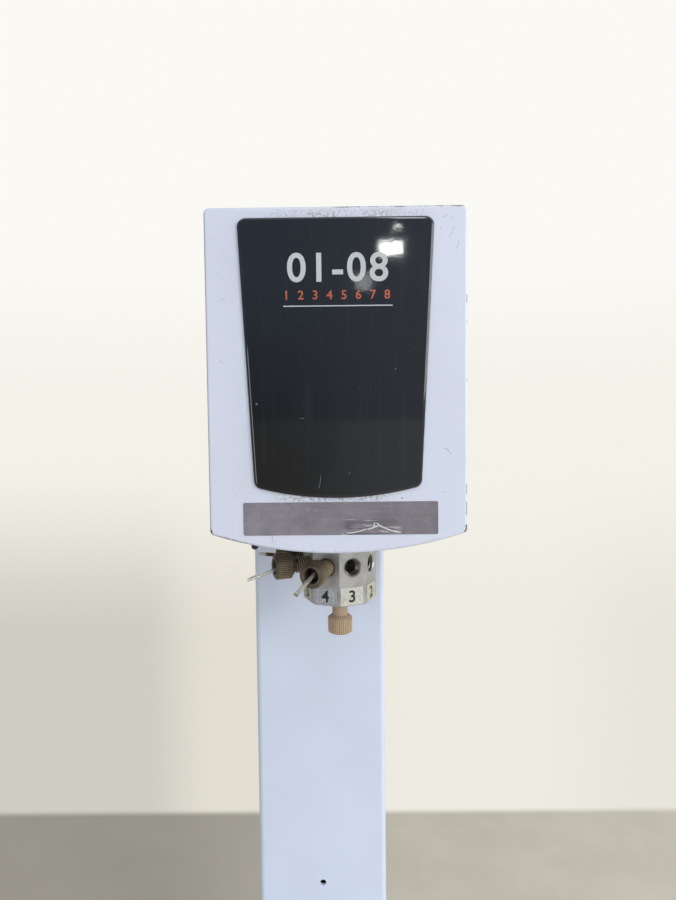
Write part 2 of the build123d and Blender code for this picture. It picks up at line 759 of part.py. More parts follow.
# Plug that joins the bottom port to the chosen side port through one bent passage
chosen_port = 4
with BuildPart() as rotor_plug:
    with BuildSketch(Plane((0, valve_y, rotor_bottom))):
        Circle(rotor_radius)
    extrude(amount=rotor_top - rotor_bottom)
    chamfer(rotor_plug.edges().group_by(Axis.Z)[0], rotor_chamfer)
    with BuildSketch(Plane((0, valve_y, rotor_bottom))):
        Circle(passage_radius)
    extrude(amount=rotor_below_ports, mode=Mode.SUBTRACT)
    with BuildSketch(port_plane(chosen_port)):
        Circle(passage_radius)
    extrude(amount=rotor_radius, mode=Mode.SUBTRACT)
    with BuildSketch(Plane((0, valve_y, rotor_top))):
        Rectangle(tang_width + 2 * seat_gap, tang_thickness + 2 * seat_gap)
    extrude(amount=-(tang_length + slip), mode=Mode.SUBTRACT)
rotor_plug.part.label = "rotor_plug"
export_step(rotor_plug.part, "parts/rotor_plug.step")

# Stem whose flat tang drives the plug
stem_top = coupling_z + (coupling_length - coupling_split) / 2
with BuildPart() as rotor_stem:
    with BuildSketch(Plane((0, valve_y, rotor_top))):
        Circle(stem_radius)
    extrude(amount=stem_top - rotor_top)
    with BuildSketch(Plane((0, valve_y, rotor_top))):
        Rectangle(tang_width, tang_thickness)
    extrude(amount=-tang_length)
    chamfer(rotor_stem.edges().group_by(Axis.Z)[-1], rotor_chamfer)
rotor_stem.part.label = "rotor_stem"
export_step(rotor_stem.part, "parts/rotor_stem.step")

# Stack of spring washers that keeps the plug pressed down
washer_space = chassis_z - spigot_depth + slip - running_gap - rotor_top
washer_pitch = washer_space / washer_count
with BuildPart() as preload_washers:
    for level in range(washer_count):
        low = rotor_top + level * washer_pitch
        high = low + washer_pitch - washer_thickness
        tilt = washer_slope if level % 2 else -washer_slope
        with BuildSketch(Plane((0, valve_y, 0), x_dir=(1, 0, 0), z_dir=(0, -1, 0))):
            with BuildLine():
                Polyline((stem_radius + running_gap, low + washer_thickness + tilt),
                         (washer_radius, low + washer_thickness - tilt),
                         (washer_radius, high - tilt), (stem_radius + running_gap, high + tilt), close=True)
            make_face()
        revolve(axis=Axis((0, valve_y, 0), (0, 0, 1)))
preload_washers.part.label = "preload_washers"
export_step(preload_washers.part, "parts/preload_washers.step")

# Clamping coupling between the stem and the motor's shaft
clamp_heights = (coupling_z + clamp_inset, coupling_top - clamp_inset)
coupling_mid = coupling_z + coupling_length / 2
with BuildPart() as shaft_coupling:
    with BuildSketch(Plane((0, valve_y, coupling_z))):
        Circle(coupling_radius)
    extrude(amount=coupling_length)
    chamfer(shaft_coupling.edges(), coupling_chamfer)
    with BuildSketch(Plane((0, valve_y, coupling_z))):
        Circle(stem_radius + seat_gap)
    extrude(amount=coupling_length / 2, mode=Mode.SUBTRACT)
    with BuildSketch(Plane((0, valve_y, coupling_mid))):
        Circle(motor_shaft_radius + seat_gap)
    extrude(amount=coupling_length / 2, mode=Mode.SUBTRACT)
    with BuildSketch(Plane.XZ.offset(-valve_y)):
        with Locations(*[(0, z) for z in clamp_heights]):
            Circle(small_shank + seat_gap)
    extrude(amount=coupling_radius, mode=Mode.SUBTRACT)
    for side in (-1, 1):
        with BuildSketch(Plane((0, valve_y, coupling_mid + side * slit_offset))):
            with Locations((side * coupling_radius, 0)):
                Rectangle(2 * (coupling_radius - slit_inner), 2 * coupling_radius)
        extrude(amount=side * slit_width, mode=Mode.SUBTRACT)
shaft_coupling.part.label = "shaft_coupling"
export_step(shaft_coupling.part, "parts/shaft_coupling.step")

# Grub screws of the coupling
with BuildPart() as coupling_screws:
    for height, shaft in zip(clamp_heights, (stem_radius, motor_shaft_radius)):
        with BuildSketch(Plane.XZ.offset(-valve_y + shaft + seat_gap)):
            with Locations((0, height)):
                Circle(small_shank)
        extrude(amount=coupling_radius - shaft - grub_recess)
coupling_screws.part.label = "coupling_screws"
export_step(coupling_screws.part, "parts/coupling_screws.step")

# Motor shaft, from the coupling's middle into the motor
shaft_z = coupling_z + (coupling_length + coupling_split) / 2
with BuildPart() as motor_shaft:
    with BuildSketch(Plane((0, valve_y, shaft_z))):
        Circle(motor_shaft_radius)
    extrude(amount=motor_z + motor_shaft_in_motor - shaft_z)
    chamfer(motor_shaft.edges().group_by(Axis.Z)[0], rotor_chamfer)
motor_shaft.part.label = "motor_shaft"
export_step(motor_shaft.part, "parts/motor_shaft.step")

# Slotted disc on the shaft, one slot for each port
disc_z = hub_z + (hub_length - disc_thickness) / 2
with BuildPart() as encoder_disc:
    with BuildSketch(Plane((0, valve_y, disc_z))):
        Circle(disc_radius)
        with PolarLocations(disc_radius - disc_slot_length / 2, ports):
            Rectangle(disc_slot_length, disc_slot_width, mode=Mode.SUBTRACT)
    extrude(amount=disc_thickness)
    with BuildSketch(Plane((0, valve_y, hub_z))):
        Circle(hub_radius)
    extrude(amount=hub_length)
    with BuildSketch(Plane((0, valve_y, hub_z))):
        Circle(motor_shaft_radius + seat_gap)
    extrude(amount=hub_length, mode=Mode.SUBTRACT)
encoder_disc.part.label = "encoder_disc"
export_step(encoder_disc.part, "parts/encoder_disc.step")

# ---------------------------------------------------------------- Drive

# Hexagonal pillars that carry the motor plate above the chassis floor
with BuildPart() as motor_pillars:
    with BuildSketch(Plane.XY.offset(chassis_top)):
        with Locations(*pillar_spots):
            RegularPolygon(pillar_flats / 2, 6, major_radius=False)
            Circle(small_shank + seat_gap, mode=Mode.SUBTRACT)
    extrude(amount=pillar_length)
motor_pillars.part.label = "motor_pillars"
export_step(motor_pillars.part, "parts/motor_pillars.step")

# Plate above the pillars, open for the motor's pilot and its screws
with BuildPart() as motor_plate:
    with BuildSketch(Plane((0, valve_y, motor_plate_z))) as plate:
        RectangleRounded(motor_plate_width, motor_plate_depth, motor_plate_corner)
        Circle(motor_pilot_radius + slip, mode=Mode.SUBTRACT)
    extrude(amount=motor_plate_thickness)
    with BuildSketch(Plane.XY.offset(motor_plate_z)):
        with Locations(*pillar_spots, *motor_spots):
            Circle(small_shank + slip)
    extrude(amount=motor_plate_thickness, mode=Mode.SUBTRACT)
motor_plate.part.label = "motor_plate"
export_step(motor_plate.part, "parts/motor_plate.step")

# Pillar screws from above and from below
with BuildPart() as pillar_screws:
    for seat, out in ((motor_z, 1), (chassis_z, -1)):
        cover = motor_plate_thickness if out > 0 else steel
        with BuildSketch(Plane.XY.offset(seat)):
            with Locations(*pillar_spots):
                Circle(small_head)
        extrude(amount=out * small_head_height)
        with BuildSketch(Plane.XY.offset(seat)):
            with Locations(*pillar_spots):
                Circle(small_shank)
        extrude(amount=-out * (cover + pillar_bite))
pillar_screws.part.label = "pillar_screws"
export_step(pillar_screws.part, "parts/pillar_screws.step")

# Stepping motor with its pilot in the plate
with BuildPart() as motor_body:
    with BuildSketch(Plane((0, valve_y, motor_z))) as section:
        Rectangle(motor_side, motor_side)
        chamfer(section.vertices(), motor_corner)
    extrude(amount=motor_length)
    for joint_z in (motor_z + motor_joint_inset, motor_z + motor_length - motor_joint_inset):
        with BuildSketch(Plane((0, valve_y, joint_z))) as groove:
            Rectangle(motor_side, motor_side)
            chamfer(groove.vertices(), motor_corner)
            offset(groove.sketch, amount=-motor_groove_depth, mode=Mode.SUBTRACT)
        extrude(amount=motor_groove_width, mode=Mode.SUBTRACT)
    with BuildSketch(Plane((0, valve_y, motor_z))):
        Circle(motor_pilot_radius)
    extrude(amount=-motor_plate_thickness)
    with BuildSketch(Plane((0, valve_y, motor_plate_z))):
        Circle(motor_shaft_radius + running_gap)
    extrude(amount=motor_plate_thickness + motor_shaft_in_motor + cut_overlap, mode=Mode.SUBTRACT)
    with BuildSketch(Plane.XY.offset(motor_z)):
        with Locations(*motor_spots):
            Circle(small_shank + seat_gap)
    extrude(amount=motor_bite + cut_overlap, mode=Mode.SUBTRACT)
motor_body.part.label = "motor_body"
export_step(motor_body.part, "parts/motor_body.step")
write_screws("motor_screws", facing_down(motor_plate_z), mirrored(motor_spots),
             small_shank, small_head, small_head_height, motor_plate_thickness + motor_bite)

# Slotted light sensor under the plate, round the disc's rim
sensor_front = valve_y + disc_radius - disc_slot_length - sensor_behind_slots
sensor_back = sensor_front + sensor_depth
slot_low = disc_z - sensor_gap
slot_high = disc_z + disc_thickness + sensor_gap
with BuildPart() as light_sensor:
    with BuildSketch(Plane.YZ.offset(-sensor_width / 2)):
        with BuildLine():
            Polyline((sensor_front, motor_plate_z), (sensor_back, motor_plate_z),
                     (sensor_back, slot_low - sensor_arm), (sensor_front, slot_low - sensor_arm),
                     (sensor_front, slot_low), (valve_y + disc_radius + sensor_gap, slot_low),
                     (valve_y + disc_radius + sensor_gap, slot_high), (sensor_front, slot_high), close=True)
        make_face()
    extrude(amount=sensor_width)
light_sensor.part.label = "light_sensor"
export_step(light_sensor.part, "parts/light_sensor.step")

# ---------------------------------------------------------------- Electronics on the back panel

board_rear = board_y + board_thickness
with BuildPart() as circuit_board:
    with BuildSketch(facing_back(board_y)):
        with Locations((0, board_mid_z)):
            Rectangle(board_width, board_height)
        with Locations(*board_spots):
            Circle(small_shank + slip, mode=Mode.SUBTRACT)
    extrude(amount=board_thickness)
circuit_board.part.label = "circuit_board"
export_step(circuit_board.part, "parts/circuit_board.step")

with BuildPart() as board_standoffs:
    with BuildSketch(facing_back(board_rear)):
        with Locations(*board_spots):
            Circle(standoff_radius)
            Circle(small_shank + seat_gap, mode=Mode.SUBTRACT)
    extrude(amount=standoff_length)
board_standoffs.part.label = "board_standoffs"
export_step(board_standoffs.part, "parts/board_standoffs.step")

# Screws into the standoffs, from the board's side and from outside the back panel
with BuildPart() as board_screws:
    for plane in (Plane.XZ.offset(-board_y), facing_back(rear_y)):
        with BuildSketch(plane):
            with Locations(*board_spots):
                Circle(small_head)
        extrude(amount=small_head_height)
        with BuildSketch(plane):
            with Locations(*board_spots):
                Circle(small_shank)
        extrude(amount=-(board_thickness + board_screw_bite))
board_screws.part.label = "board_screws"
export_step(board_screws.part, "parts/board_screws.step")

# Parts soldered to the front of the board
with BuildPart() as board_components:
    with BuildSketch(Plane.XZ.offset(-board_y)):
        with Locations((-chip_x, board_mid_z + chip_rise), (chip_x, board_mid_z + chip_rise),
                       (-chip_x, board_mid_z - low_chip_drop)):
            Rectangle(chip_width, chip_height)
    extrude(amount=chip_thickness)
    with BuildSketch(Plane.XZ.offset(-board_y)):
        with Locations(*[(x, board_mid_z + z) for x, z in can_spots]):
            Circle(can_radius)
    extrude(amount=can_length)
board_components.part.label = "board_components"
export_step(board_components.part, "parts/board_components.step")

# Nine-way control socket through the back panel
socket_inner_width = socket_shell_width - 2 * socket_shell_sheet
socket_inner_height = socket_shell_height - 2 * socket_shell_sheet
with BuildPart() as control_socket:
    with BuildSketch(facing_back(rear_y)):
        with Locations((-socket_x, socket_z)):
            RectangleRounded(socket_width, socket_height, socket_corner)
        with Locations(*socket_screw_spots):
            Circle(small_shank + slip, mode=Mode.SUBTRACT)
    extrude(amount=socket_flange)
    with BuildSketch(facing_back(rear_y)):
        with Locations((-socket_x, socket_z)):
            RectangleRounded(socket_shell_width, socket_shell_height, socket_shell_corner)
    extrude(amount=socket_reach)
    with BuildSketch(facing_back(rear_y + socket_reach)):
        with Locations((-socket_x, socket_z)):
            RectangleRounded(socket_inner_width, socket_inner_height,
                             socket_shell_corner - socket_shell_sheet)
            Rectangle(socket_inner_width - 2 * socket_insert_gap,
                      socket_inner_height - 2 * socket_insert_gap, mode=Mode.SUBTRACT)
    extrude(amount=-socket_face_depth, mode=Mode.SUBTRACT)
    with BuildSketch(facing_back(rear_y)):
        with Locations((-socket_x, socket_z)):
            Rectangle(socket_inner_width, socket_inner_height)
    extrude(amount=-(rear_y - board_rear))
control_socket.part.label = "control_socket"
export_step(control_socket.part, "parts/control_socket.step")
write_screws("socket_screws", facing_back(rear_y + socket_flange), socket_screw_spots,
             small_shank, jack_screw_radius, jack_screw_height, steel + nut_bite)

# Round power inlet beside it
with BuildPart() as power_inlet:
    with BuildSketch(facing_back(rear_y)):
        with Locations((-jack_x, socket_z)):
            Circle(jack_flange_radius)
    extrude(amount=jack_flange)
    with BuildSketch(facing_back(rear_y)):
        with Locations((-jack_x, socket_z)):
            Circle(jack_radius)
    extrude(amount=jack_reach)
    with BuildSketch(facing_back(rear_y)):
        with Locations((-jack_x, socket_z)):
            Circle(jack_radius)
    extrude(amount=-(rear_y - board_rear))
    with BuildSketch(facing_back(rear_y + jack_reach)):
        with Locations((-jack_x, socket_z)):
            Circle(jack_bore_radius)
            Circle(jack_pin_radius, mode=Mode.SUBTRACT)
    extrude(amount=-jack_bore_depth, mode=Mode.SUBTRACT)
power_inlet.part.label = "power_inlet"
export_step(power_inlet.part, "parts/power_inlet.step")

# ---------------------------------------------------------------- Finger-tight fittings


def write_fitting(name, port, face_at, exposed, tip_at, bend=0, lean=0):
    """Write the nut, ferrule and cut tube of one port as three nodes.

    Distances run out from the valve's centre along the port's axis. The tube bends by
    `bend` degrees towards a side `lean` degrees round from straight down.
    """
    axis = Axis(port.origin, port.z_dir)
    shank_end = face_at - shank_length + exposed
    head_at = face_at + exposed
    nut_end = head_at + nut_length
    seat = shank_end - ferrule_collar
    pocket = nut_end - nut_pocket_depth

    with BuildPart() as nut:
        with BuildSketch(profile_plane(port)):
            with BuildLine():
                Polyline((shank_end, nut_bore_radius), (shank_end, shank_radius - shank_chamfer),
                         (shank_end + shank_chamfer, shank_radius), (head_at, shank_radius),
                         (head_at, nut_radius - nut_chamfer), (head_at + nut_chamfer, nut_radius),
                         (nut_end - nut_chamfer, nut_radius), (nut_end, nut_radius - nut_chamfer),
                         (nut_end, nut_pocket_radius), (pocket, nut_pocket_radius),
                         (pocket - nut_pocket_cone, nut_bore_radius), close=True)
            make_face()
        revolve(axis=axis)
        with BuildSketch(port.offset(head_at)):
            with PolarLocations(nut_radius, nut_rib_count):
                Rectangle(2 * nut_groove, 2 * nut_groove, rotation=45)
        extrude(amount=nut_length, mode=Mode.SUBTRACT)
    nut.part.label = f"nut_{name}"
    export_step(nut.part, f"parts/nut_{name}.step")

    with BuildPart() as ferrule:
        with BuildSketch(profile_plane(port)):
            with BuildLine():
                Polyline((shank_end - fitting_gap, tube_radius + seat_gap),
                         (shank_end - fitting_gap, ferrule_collar_radius),
                         (seat + fitting_gap, ferrule_collar_radius),
                         (seat + fitting_gap, cone_radius - fitting_gap),
                         (seat - cone_length + 2 * fitting_gap, cone_tip_radius),
                         (seat - cone_length + 2 * fitting_gap, tube_radius + seat_gap), close=True)
            make_face()
        revolve(axis=axis)
    ferrule.part.label = f"ferrule_{name}"
    export_step(ferrule.part, f"parts/ferrule_{name}.step")

    away = -port.y_dir * cos(radians(lean)) - port.x_dir * sin(radians(lean))
    route_plane = Plane(port.origin, x_dir=port.z_dir, z_dir=port.z_dir.cross(away))
    inner_end = seat - cone_length + fitting_gap
    with BuildPart() as stub:
        with BuildLine(route_plane) as route:
            if bend:
                straight = Line((inner_end, 0), (tube_bend_start, 0))
                turn_end = (tube_bend_start + tube_bend_radius * sin(radians(bend)),
                            tube_bend_radius * (1 - cos(radians(bend))))
                TangentArc(straight @ 1, turn_end, tangent=straight % 1)
                run = (tip_at - turn_end[0]) / cos(radians(bend))
                Line(turn_end, (tip_at, turn_end[1] + run * sin(radians(bend))))
            else:
                Line((inner_end, 0), (tip_at, 0))
        with BuildSketch(port.offset(inner_end)):
            Circle(tube_radius)
        sweep(path=route.line)
    stub.part.label = f"tube_{name}"
    export_step(stub.part, f"parts/tube_{name}.step")


write_fitting("4", port_plane(4), block_face, side_exposed, tube_4_tip, bend=26, lean=23)
write_fitting("5", port_plane(5), block_face, side_exposed, tube_5_tip, bend=15)
write_fitting("6", port_plane(6), block_face, side_exposed, tube_6_tip)
write_fitting("common", common_plane, block_below_ports, bottom_exposed,
              block_below_ports + bottom_exposed + nut_length + tube_stub)
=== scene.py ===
"""Dresses the bench selector valve: finishes, threads, printed numerals and small screws."""
from math import cos, pi, radians, sin

import bmesh
import bpy
from mathutils import Matrix, Vector


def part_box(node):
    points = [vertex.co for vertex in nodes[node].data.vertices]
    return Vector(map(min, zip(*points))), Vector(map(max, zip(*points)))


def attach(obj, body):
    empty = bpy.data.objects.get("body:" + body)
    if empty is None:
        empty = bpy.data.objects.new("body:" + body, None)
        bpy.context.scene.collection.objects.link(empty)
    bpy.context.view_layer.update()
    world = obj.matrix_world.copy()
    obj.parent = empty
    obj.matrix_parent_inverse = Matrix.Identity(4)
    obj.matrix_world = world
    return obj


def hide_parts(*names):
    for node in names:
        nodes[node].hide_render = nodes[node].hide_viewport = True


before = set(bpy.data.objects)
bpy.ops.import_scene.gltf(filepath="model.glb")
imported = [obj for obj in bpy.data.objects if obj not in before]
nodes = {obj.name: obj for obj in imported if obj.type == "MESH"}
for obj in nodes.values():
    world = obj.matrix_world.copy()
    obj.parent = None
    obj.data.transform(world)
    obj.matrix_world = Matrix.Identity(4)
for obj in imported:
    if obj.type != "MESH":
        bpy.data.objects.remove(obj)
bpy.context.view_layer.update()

mm = 0.001
bpy.context.scene.view_settings.view_transform = "Standard"


# ---------------------------------------------------------------- Painted sheet steel
# Base tray, column and head cover share one pale blue-grey powder coat: a fine pebbled skin
# with faint clouding, chipped to dark primer and rust along the folded edges. The column's copy
# is made lighter, as painted light.
def srgb(text):
    """Linear colour of a hex code."""
    levels = [int(text[i:i + 2], 16) / 255 for i in (0, 2, 4)]
    return tuple(v / 12.92 if v <= 0.04045 else ((v + 0.055) / 1.055) ** 2.4 for v in levels)


def set_inputs(node, inputs):
    """Links a node's inputs to sockets, or gives them values; a hex code is a colour."""
    for key, value in inputs.items():
        if isinstance(value, bpy.types.NodeSocket):
            node.id_data.links.new(value, node.inputs[key])
        else:
            node.inputs[key].default_value = (*srgb(value), 1) if isinstance(value, str) else value


def add(kind, inputs=None, tree=None, **settings):
    """A node with its settings and inputs, in `tree` or in the tree of its linked inputs."""
    inputs = inputs or {}
    if tree is None:
        tree = next(v for v in inputs.values() if isinstance(v, bpy.types.NodeSocket)).id_data
    node = tree.nodes.new(kind)
    for key, value in settings.items():
        setattr(node, key, value)
    set_inputs(node, inputs)
    return node


def new_finish(name):
    """A material, its Principled shader and the object coordinates of its piece."""
    finish = bpy.data.materials.new(name)
    finish.use_nodes = True
    where = add("ShaderNodeTexCoord", tree=finish.node_tree).outputs["Object"]
    return finish, finish.node_tree.nodes["Principled BSDF"], where


def noise(where, size, detail=3.0, roughness=0.55, distortion=0.0):
    """Noise whose grain is `size` metres across, from 0 to 1."""
    return add("ShaderNodeTexNoise", {"Vector": where, "Scale": 1 / size, "Detail": detail,
               "Roughness": roughness, "Distortion": distortion}).outputs["Fac"]


def fade(value, low, high, out_low=0.0, out_high=1.0):
    """Smooth step of a value between two levels."""
    return add("ShaderNodeMapRange", {"Value": value, "From Min": low, "From Max": high,
               "To Min": out_low, "To Max": out_high}, interpolation_type="SMOOTHSTEP").outputs["Result"]


def maths(operation, a, b=0.0):
    """One step of arithmetic."""
    return add("ShaderNodeMath", {0: a, 1: b}, operation=operation).outputs[0]


def times(product, *factors):
    """Product of a socket and other values."""
    for factor in factors:
        product = maths("MULTIPLY", product, factor)
    return product


def strongest(masks):
    """Highest of several masks."""
    highest = masks[0]
    for mask in masks[1:]:
        highest = maths("MAXIMUM", highest, mask)
    return highest


def vector_maths(operation, a, b=(0, 0, 0)):
    """One step of vector arithmetic."""
    node = add("ShaderNodeVectorMath", {0: a, 1: b}, operation=operation)
    return node.outputs["Value" if operation in ("LENGTH", "DISTANCE", "DOT_PRODUCT") else "Vector"]


def axes(where):
    """X, Y and Z of a vector."""
    return add("ShaderNodeSeparateXYZ", {0: where}).outputs


def stretched(where, scale, turn=(0, 0, 0)):
    """Coordinates turned and scaled, for grain that runs one way."""
    return add("ShaderNodeMapping", {"Vector": where, "Rotation": turn, "Scale": scale}).outputs["Vector"]


def blend_colours(factor, a, b):
    """Mix of two colours, each a socket, a hex code or linear levels."""
    a, b = [(*v, 1) if isinstance(v, tuple) else v for v in (a, b)]
    return add("ShaderNodeMix", {"Factor": factor, 6: a, 7: b}, data_type="RGBA").outputs[2]


def bump(height, strength, distance):
    """Normal from a height."""
    return add("ShaderNodeBump", {"Height": height, "Strength": strength,
               "Distance": distance}).outputs["Normal"]


def wear(node_name, finish):
    """Gives a CAD piece its finish."""
    mesh = nodes[node_name].data
    if not mesh.materials:
        mesh.materials.append(finish)
    for index in range(len(mesh.materials)):
        mesh.materials[index] = finish


def new_group(name, takes, gives):
    """An empty node group with its named sockets, the sockets it takes and its output node."""
    group = bpy.data.node_groups.new(name, "ShaderNodeTree")
    for label, kind, value in takes:
        socket = group.interface.new_socket(label, in_out="INPUT", socket_type=f"NodeSocket{kind}")
        socket.default_value = value
    for label, kind in gives:
        group.interface.new_socket(label, in_out="OUTPUT", socket_type=f"NodeSocket{kind}")
    return group, group.nodes.new("NodeGroupInput").outputs, group.nodes.new("NodeGroupOutput")


def edge_wear_group():
    """Masks chips along the edges of a box: 1 where the skin is gone."""
    group, takes, gives = new_group(
        "Edge wear",
        (("Vector", "Vector", (0, 0, 0)), ("Centre", "Vector", (0, 0, 0)), ("Half size", "Vector", (1, 1, 1)),
         ("Reach", "Float", 0.001), ("Amount", "Float", 0.5), ("Grain", "Float", 0.006)),
        (("Mask", "Float"),))
    away = vector_maths("ABSOLUTE", vector_maths("SUBTRACT", takes["Vector"], takes["Centre"]))
    x, y, z = axes(vector_maths("SUBTRACT", takes["Half size"], away))
    second = maths("MAXIMUM", maths("MINIMUM", x, y), maths("MINIMUM", maths("MAXIMUM", x, y), z))
    scale = maths("DIVIDE", 1.0, takes["Grain"])
    coarse = add("ShaderNodeTexNoise", {"Vector": takes["Vector"], "Scale": scale, "Detail": 4.0,
                 "Roughness": 0.6}).outputs["Fac"]
    reach = times(takes["Reach"], fade(coarse, 0.50, 0.74), times(takes["Amount"], 2.0))
    set_inputs(gives, {"Mask": maths("GREATER_THAN", reach, second)})
    return group


def powder_coat_group():
    """Colour, roughness and height of the pebbled coat, with faint clouding and dust."""
    group, takes, gives = new_group(
        "Powder coat",
        (("Vector", "Vector", (0, 0, 0)), ("Coat", "Color", (0.6, 0.65, 0.75, 1)), ("Dust", "Float", 0.2)),
        (("Color", "Color"), ("Roughness", "Float"), ("Height", "Float")))
    where = takes["Vector"]
    pebble = noise(where, 0.0009, detail=2.0)
    cloud = noise(where, 0.045, detail=4.0)
    speck = fade(noise(where, 0.0016, detail=2.0), 0.70, 0.76)
    tone = blend_colours(fade(cloud, 0.35, 0.7, 0.0, 0.12), takes["Coat"], "A9ADB8")
    set_inputs(gives, {"Color": blend_colours(times(speck, takes["Dust"]), tone, "8F8B84"),
                       "Roughness": fade(pebble, 0.3, 0.7, 0.38, 0.52), "Height": pebble})
    return group


edge_wear = edge_wear_group()
powder_coat = powder_coat_group()
primer = "3A302A"


def painted(name, coat, low, high, reach, amount, dust=0.25, stretch=None):
    """Painted sheet whose outer box runs from low to high, chipped along its edges.

    `stretch` limits the chips along X: they start at its first value and are full at its second.
    """
    finish, shader, where = new_finish(name)
    skin = add("ShaderNodeGroup", {"Vector": where, "Coat": coat, "Dust": dust}, node_tree=powder_coat)
    mask = add("ShaderNodeGroup", {"Vector": where, "Centre": (low + high) / 2, "Half size": (high - low) / 2,
               "Reach": reach, "Amount": amount}, node_tree=edge_wear).outputs["Mask"]
    if stretch:
        mask = times(mask, fade(axes(where)["X"], *stretch))
    height = maths("SUBTRACT", skin.outputs["Height"], times(mask, 2.0))
    set_inputs(shader, {"Base Color": blend_colours(mask, skin.outputs["Color"], primer),
                        "Roughness": maths("ADD", skin.outputs["Roughness"], times(mask, 0.3)),
                        "Normal": bump(height, 0.12, 0.0004)})
    return finish, shader, where


open_side = 0.05
tray_low, tray_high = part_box("base_tray")
wear("base_tray", painted("Base paint", "CBD4E6", tray_low - Vector((0, 0, open_side)), tray_high,
                          0.0011, 0.42)[0])
column_low, column_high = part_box("column_shell")
# Painted light: the column's coat is a lighter, bluer copy of the cover's paint.
lighter_column_paint = painted("Column paint", "D0DAED", column_low - Vector((0, 0, open_side)),
                       column_high + Vector((0, open_side, open_side)), 0.0007, 0.30, dust=0.15)[0]
for name in ("column_shell", "column_rear_cover"):
    wear(name, lighter_column_paint)


# ---------------------------------------------------------------- Head cover
# Folded 1.2 mm sheet, painted like the column. Its top edge is rubbed down to grey primer, the
# lower corners have rusted, and grime has settled above the panel and under it. A thin darker
# line down the left edge is painted shade.
cover_low, cover_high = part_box("head_cover")
panel_low, panel_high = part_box("front_panel")
cover_corner_z = 338.4 * mm
cover_paint, shader, where = painted(
    "Cover paint", "CDD4E6", cover_low - Vector((0, 0, open_side)), cover_high + Vector((0, open_side, 0)),
    0.0006, 0.55, dust=0.3, stretch=(-0.012, 0.018))
x, y, z = axes(where)


def scratch(x, z, at_x, at_z, slope, half_length, half_width):
    """Mask of one fine bowed scratch on the front, in mm, `slope` degrees up from level."""
    lean, half_length, half_width = radians(slope), half_length * mm, half_width * mm
    right_of = maths("SUBTRACT", x, at_x * mm)
    above = maths("SUBTRACT", z, at_z * mm)
    along = maths("ADD", times(right_of, cos(lean)), times(above, sin(lean)))
    across = maths("SUBTRACT", times(above, cos(lean)), times(right_of, sin(lean)))
    bow = times(along, along, 0.12 / half_length)
    thin = fade(maths("ABSOLUTE", maths("SUBTRACT", across, bow)), half_width, 0.4 * half_width)
    return times(thin, fade(maths("ABSOLUTE", along), half_length, 0.7 * half_length))


def scratches(x, z, rows):
    """Mask of scratches, each given by its middle, slope, half length and half width."""
    return strongest([scratch(x, z, *row) for row in rows])


above_panel = fade(z, panel_high.z - 0.004, panel_high.z + 0.0008)
below_top = fade(z, cover_high.z - 0.0002, cover_high.z - 0.0022)
between_sides = times(fade(x, -0.030, -0.008), fade(x, 0.036, 0.022))
grain = fade(noise(where, 0.0010, detail=4.0, roughness=0.7), 0.44, 0.60)
grime = times(grain, fade(noise(where, 0.008, detail=2.0), 0.30, 0.60, 0.35, 1.0))
over_arc = times(above_panel, below_top, between_sides, grime)
paint_colour = shader.inputs["Base Color"].links[0].from_socket
tone = blend_colours(times(over_arc, 0.75), paint_colour, "857F78")

below_panel = times(fade(z, panel_low.z - 0.0020, panel_low.z - 0.0004),
                    fade(z, panel_low.z + 0.0052, panel_low.z + 0.0030))
under_arc = times(grain, below_panel, fade(x, -0.026, -0.012), fade(x, 0.022, 0.010))
tone = blend_colours(times(under_arc, 0.8), tone, "7F7870")

ragged = noise(where, 0.0035, detail=5.0, roughness=0.65)
from_top = maths("SUBTRACT", cover_high.z, z)
rubbed = times(maths("LESS_THAN", from_top, fade(ragged, 0.38, 0.62, 0.00015, 0.0008)),
               fade(x, -0.006, 0.006), fade(y, cover_low.y + 0.0018, cover_low.y + 0.0010))
tone = blend_colours(times(rubbed, 0.85), tone, "6C6A69")
from_side = maths("SUBTRACT", cover_high.x, maths("ABSOLUTE", x))
from_corner = maths("ADD", times(from_side, 2.0), maths("ABSOLUTE", maths("SUBTRACT", z, cover_corner_z)))
rusty = times(maths("LESS_THAN", from_corner, fade(ragged, 0.35, 0.65, 0.0012, 0.0036)),
              fade(y, cover_low.y + 0.005, cover_low.y + 0.001))
tone = blend_colours(rusty, tone, "543C2F")
hem_rise = (cover_corner_z - cover_low.z) / cover_high.x ** 2
above_hem = maths("SUBTRACT", z, maths("ADD", cover_low.z, times(x, x, hem_rise)))
hem_line = times(fade(x, -0.024, -0.034), fade(above_hem, fade(ragged, 0.4, 0.6, 0.0003, 0.0010), 0.0))
tone = blend_colours(times(hem_line, 0.9), tone, "4A423D")
# Painted shade: a thin darker line down the cover's left edge.
left_edge_shade = fade(maths("ADD", x, cover_high.x), 0.0005, 0.0002)
tone = blend_colours(times(left_edge_shade, 0.6), tone, "7F8490")
under_edge = times(fade(maths("ABSOLUTE", x), 0.038, 0.028),
                   fade(noise(where, 0.0016, detail=4.0), 0.55, 0.68))
near_hem = fade(z, panel_low.z - 0.0155, panel_low.z - 0.0190)
tone = blend_colours(times(under_edge, near_hem, 0.35), tone, "8A8074")
scored = scratches(x, z, (
    (38.2, 366.6, -50, 1.5, 0.16), (37.0, 367.6, -15, 0.7, 0.12), (39.5, 441.0, 62, 2.4, 0.10),
    (41.4, 436.5, 70, 1.8, 0.10), (37.2, 446.2, 20, 1.6, 0.09), (-38.6, 419.3, 35, 1.0, 0.12),
    (-39.5, 398.0, -40, 0.8, 0.13), (-35.7, 352.0, 80, 0.8, 0.09), (36.0, 352.6, 5, 1.2, 0.09),
    (-23.0, 336.4, 84, 1.5, 0.12), (-22.2, 335.6, 65, 0.8, 0.10), (-23.8, 337.0, -70, 0.6, 0.10)))
